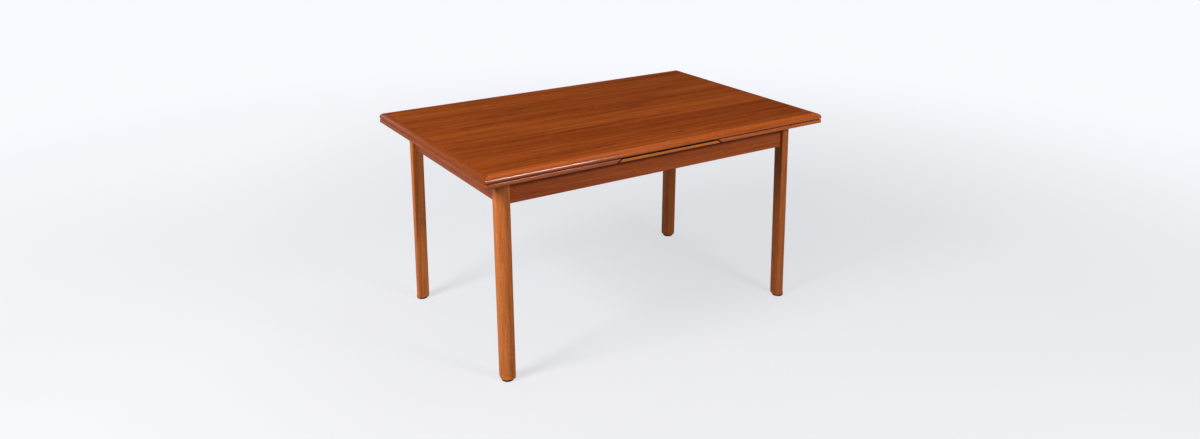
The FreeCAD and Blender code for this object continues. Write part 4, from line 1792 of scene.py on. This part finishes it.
    def build_washers(self, shop: Workshop) -> None:
        """Stamped washers, round at their upper rim."""
        shapes = []
        soft = self.steel_round
        thickness = self.washer_thickness
        profile = [
            (self.hole_radius, 0.0),
            (self.washer_radius, 0.0),
            (self.washer_radius, thickness - soft),
            (self.washer_radius - soft, thickness),
            (self.hole_radius + soft, thickness),
            (self.hole_radius, thickness - soft),
        ]
        for height in self.heights():
            shape = turned_shape(profile, 36, closed=True)
            shapes.append(at_places(shape, self.bolt_places(height, self.block_face(height))))
        self.collect(shop, "leg_bolt_washers", shapes)

    def build_nuts(self, shop: Workshop) -> None:
        """Hexagon nuts with a hole and chamfered corners."""
        shapes = []
        for height in self.heights():
            mesh = bmesh.new()
            bmesh.ops.create_circle(mesh, segments=6, radius=self.nut_width / math.sqrt(3))
            bmesh.ops.create_circle(mesh, segments=24, radius=self.hole_radius)
            bmesh.ops.bridge_loops(mesh, edges=mesh.edges[:])
            raise_faces(mesh, mesh.faces[:], self.nut_height)
            ease(mesh, self.steel_round)
            start = self.block_face(height) + self.washer_thickness
            shapes.append(at_places(mesh, self.bolt_places(height, start)))
        self.collect(shop, "leg_bolt_nuts", shapes)


@dataclass(frozen=True)
class Lamp:
    """A soft box of the studio."""

    name: str
    place: Point
    aim: Point
    width: float
    height: float
    power: float

    def build(self) -> None:
        """Set the lamp up."""
        data = bpy.data.lights.new(self.name, "AREA")
        data.shape = "RECTANGLE"
        data.size = self.width
        data.size_y = self.height
        data.energy = self.power
        lamp = new_object(self.name, data)
        lamp.location = self.place
        direction = Vector(self.aim) - Vector(self.place)
        lamp.rotation_euler = direction.to_track_quat("-Z", "Y").to_euler()
        LOG.info("lit %s", self.name)


@dataclass
class Studio:
    """Pale floor, soft light and the camera at the photograph's viewing angle."""

    floor_reach: float = 30.0
    floor_seen: Colour = (0.53, 0.515, 0.5)
    floor_bounce: Colour = (0.2, 0.2, 0.202)
    floor_paper: Colour = (0.94, 0.955, 1.0)
    floor_white: float = 1.02
    floor_share_near: float = 0.65
    floor_share_far: float = 0.98
    surround: Colour = (0.93, 0.96, 1.0)
    surround_strength: float = 0.19
    surround_behind: float = 0.22
    behind: Point = (0.6, 0.8, 0.0)
    paper_height: float = 0.1
    lens: float = 28.263
    sensor: float = 36.0
    eye: Point = (-1.766, -2.792, 1.614)
    yaw: float = math.radians(32.305)
    pitch: float = math.radians(21.424)
    roll: float = math.radians(0.133)
    lamps: tuple[Lamp, ...] = (
        Lamp("left_soft_box", (-3.15, -0.55, 2.65), (-0.2, -0.05, 0.6), 1.2, 1.2, 158.0),
        Lamp("right_overhead", (0.9, -0.5, 3.1), (0.55, -0.1, 0.7), 1.6, 1.6, 16.0),
        Lamp("back_fill", (-1.0, 3.3, 1.25), (0.0, 0.3, 0.5), 1.8, 0.9, 27.0),
        Lamp("front_window", (0.68, -2.52, 1.65), (0.0, -0.4, 0.65), 0.62, 0.3, 32.0),
    )

    def build(self) -> None:
        """Set up the floor, the light and the camera."""
        self.build_floor()
        self.build_surround()
        for lamp in self.lamps:
            lamp.build()
        self.build_camera()

    def build_floor(self) -> None:
        """A plain pale floor with a faint unevenness."""
        mesh = bmesh.new()
        bmesh.ops.create_grid(mesh, x_segments=2, y_segments=2, size=self.floor_reach)
        data = bpy.data.meshes.new("studio_floor_shape")
        mesh.to_mesh(data)
        mesh.free()
        material, board, shader = new_material("pale_floor")
        place = board.place()
        cloud = board.noise(place, (1.3, 1.3, 1.3), 3.0)
        tone = board.remap(cloud, 0.3, 0.7, 0.985, 1.015)
        path = board.add("ShaderNodeLightPath")
        colour = board.blend(path.outputs["Is Camera Ray"], self.floor_bounce, self.floor_seen)
        board.feed(shader.inputs["Base Color"], board.toned(colour, tone))
        shader.inputs["Roughness"].default_value = 0.7
        shader.inputs["Specular IOR Level"].default_value = 0.1
        paper = board.add("ShaderNodeEmission")
        paper.inputs["Color"].default_value = (*self.floor_paper, 1.0)
        paper.inputs["Strength"].default_value = self.floor_white
        away = board.measure("LENGTH", place)
        share = board.remap(away, 0.9, 4.5, self.floor_share_near, self.floor_share_far)
        mirrored = board.math("MAXIMUM", path.outputs["Is Glossy Ray"], path.outputs["Is Transmission Ray"])
        seen = board.math("MAXIMUM", path.outputs["Is Camera Ray"], mirrored)
        board.give_out(board.math("MULTIPLY", seen, share), shader, paper)
        data.materials.append(material)
        floor = new_object("studio_floor", data)

    def build_surround(self) -> None:
        """Even light from all round, a little stronger from behind, and seen as white paper."""
        world = bpy.data.worlds.new("studio_surround")
        world.use_nodes = True
        background = next(n for n in world.node_tree.nodes if n.type == "BACKGROUND")
        background.inputs["Color"].default_value = (*self.surround, 1.0)
        board = NodeBoard(world.node_tree)
        direction = board.add("ShaderNodeTexCoord").outputs["Generated"]
        facing = board.measure("DOT_PRODUCT", direction, self.behind)
        strength = board.remap(facing, 0.0, 0.9, self.surround_strength, self.surround_behind)
        board.feed(background.inputs["Strength"], strength)
        paper = board.add("ShaderNodeBackground")
        paper.inputs["Color"].default_value = (*self.floor_paper, 1.0)
        paper.inputs["Strength"].default_value = self.floor_white
        path = board.add("ShaderNodeLightPath")
        _, _, rise = board.parts(direction)
        low = board.remap(rise, self.paper_height, 0.7 * self.paper_height)
        mirrored = board.math("MAXIMUM", path.outputs["Is Glossy Ray"], path.outputs["Is Transmission Ray"])
        seen = board.math("MAXIMUM", path.outputs["Is Camera Ray"], board.math("MULTIPLY", mirrored, low))
        board.give_out(seen, background, paper)
        bpy.context.scene.world = world
        bpy.context.scene.view_settings.view_transform = "Standard"

    def build_camera(self) -> None:
        """The camera where the photograph was taken from."""
        data = bpy.data.cameras.new("studio_camera")
        data.lens = self.lens
        data.sensor_width = self.sensor
        data.sensor_fit = "HORIZONTAL"
        data.clip_end = 200.0
        camera = new_object("studio_camera", data)
        turn = Matrix.Rotation(-self.yaw, 4, "Z")
        tilt = Matrix.Rotation(math.pi / 2 - self.pitch, 4, "X")
        lean = Matrix.Rotation(-self.roll, 4, "Z")
        camera.matrix_world = Matrix.Translation(self.eye) @ turn @ tilt @ lean
        bpy.context.scene.camera = camera


def write_sizes() -> None:
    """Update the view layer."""
    bpy.context.view_layer.update()


def main() -> None:
    """Build the table's sub-assemblies in order, then the studio."""
    logging.basicConfig(level=logging.INFO, format="%(name)s %(message)s")
    shop = Workshop()
    boards = BoardSizes()
    LooseTop(boards).build(shop)
    FeltRings().build(shop)
    for side in Side:
        DrawLeaf(side, boards).build(shop)
    Bridge(boards).build(shop)
    Underframe().build(shop)
    Fasteners().build(shop)
    Studio().build()
    write_sizes()


if __name__ == "__main__":
    main()
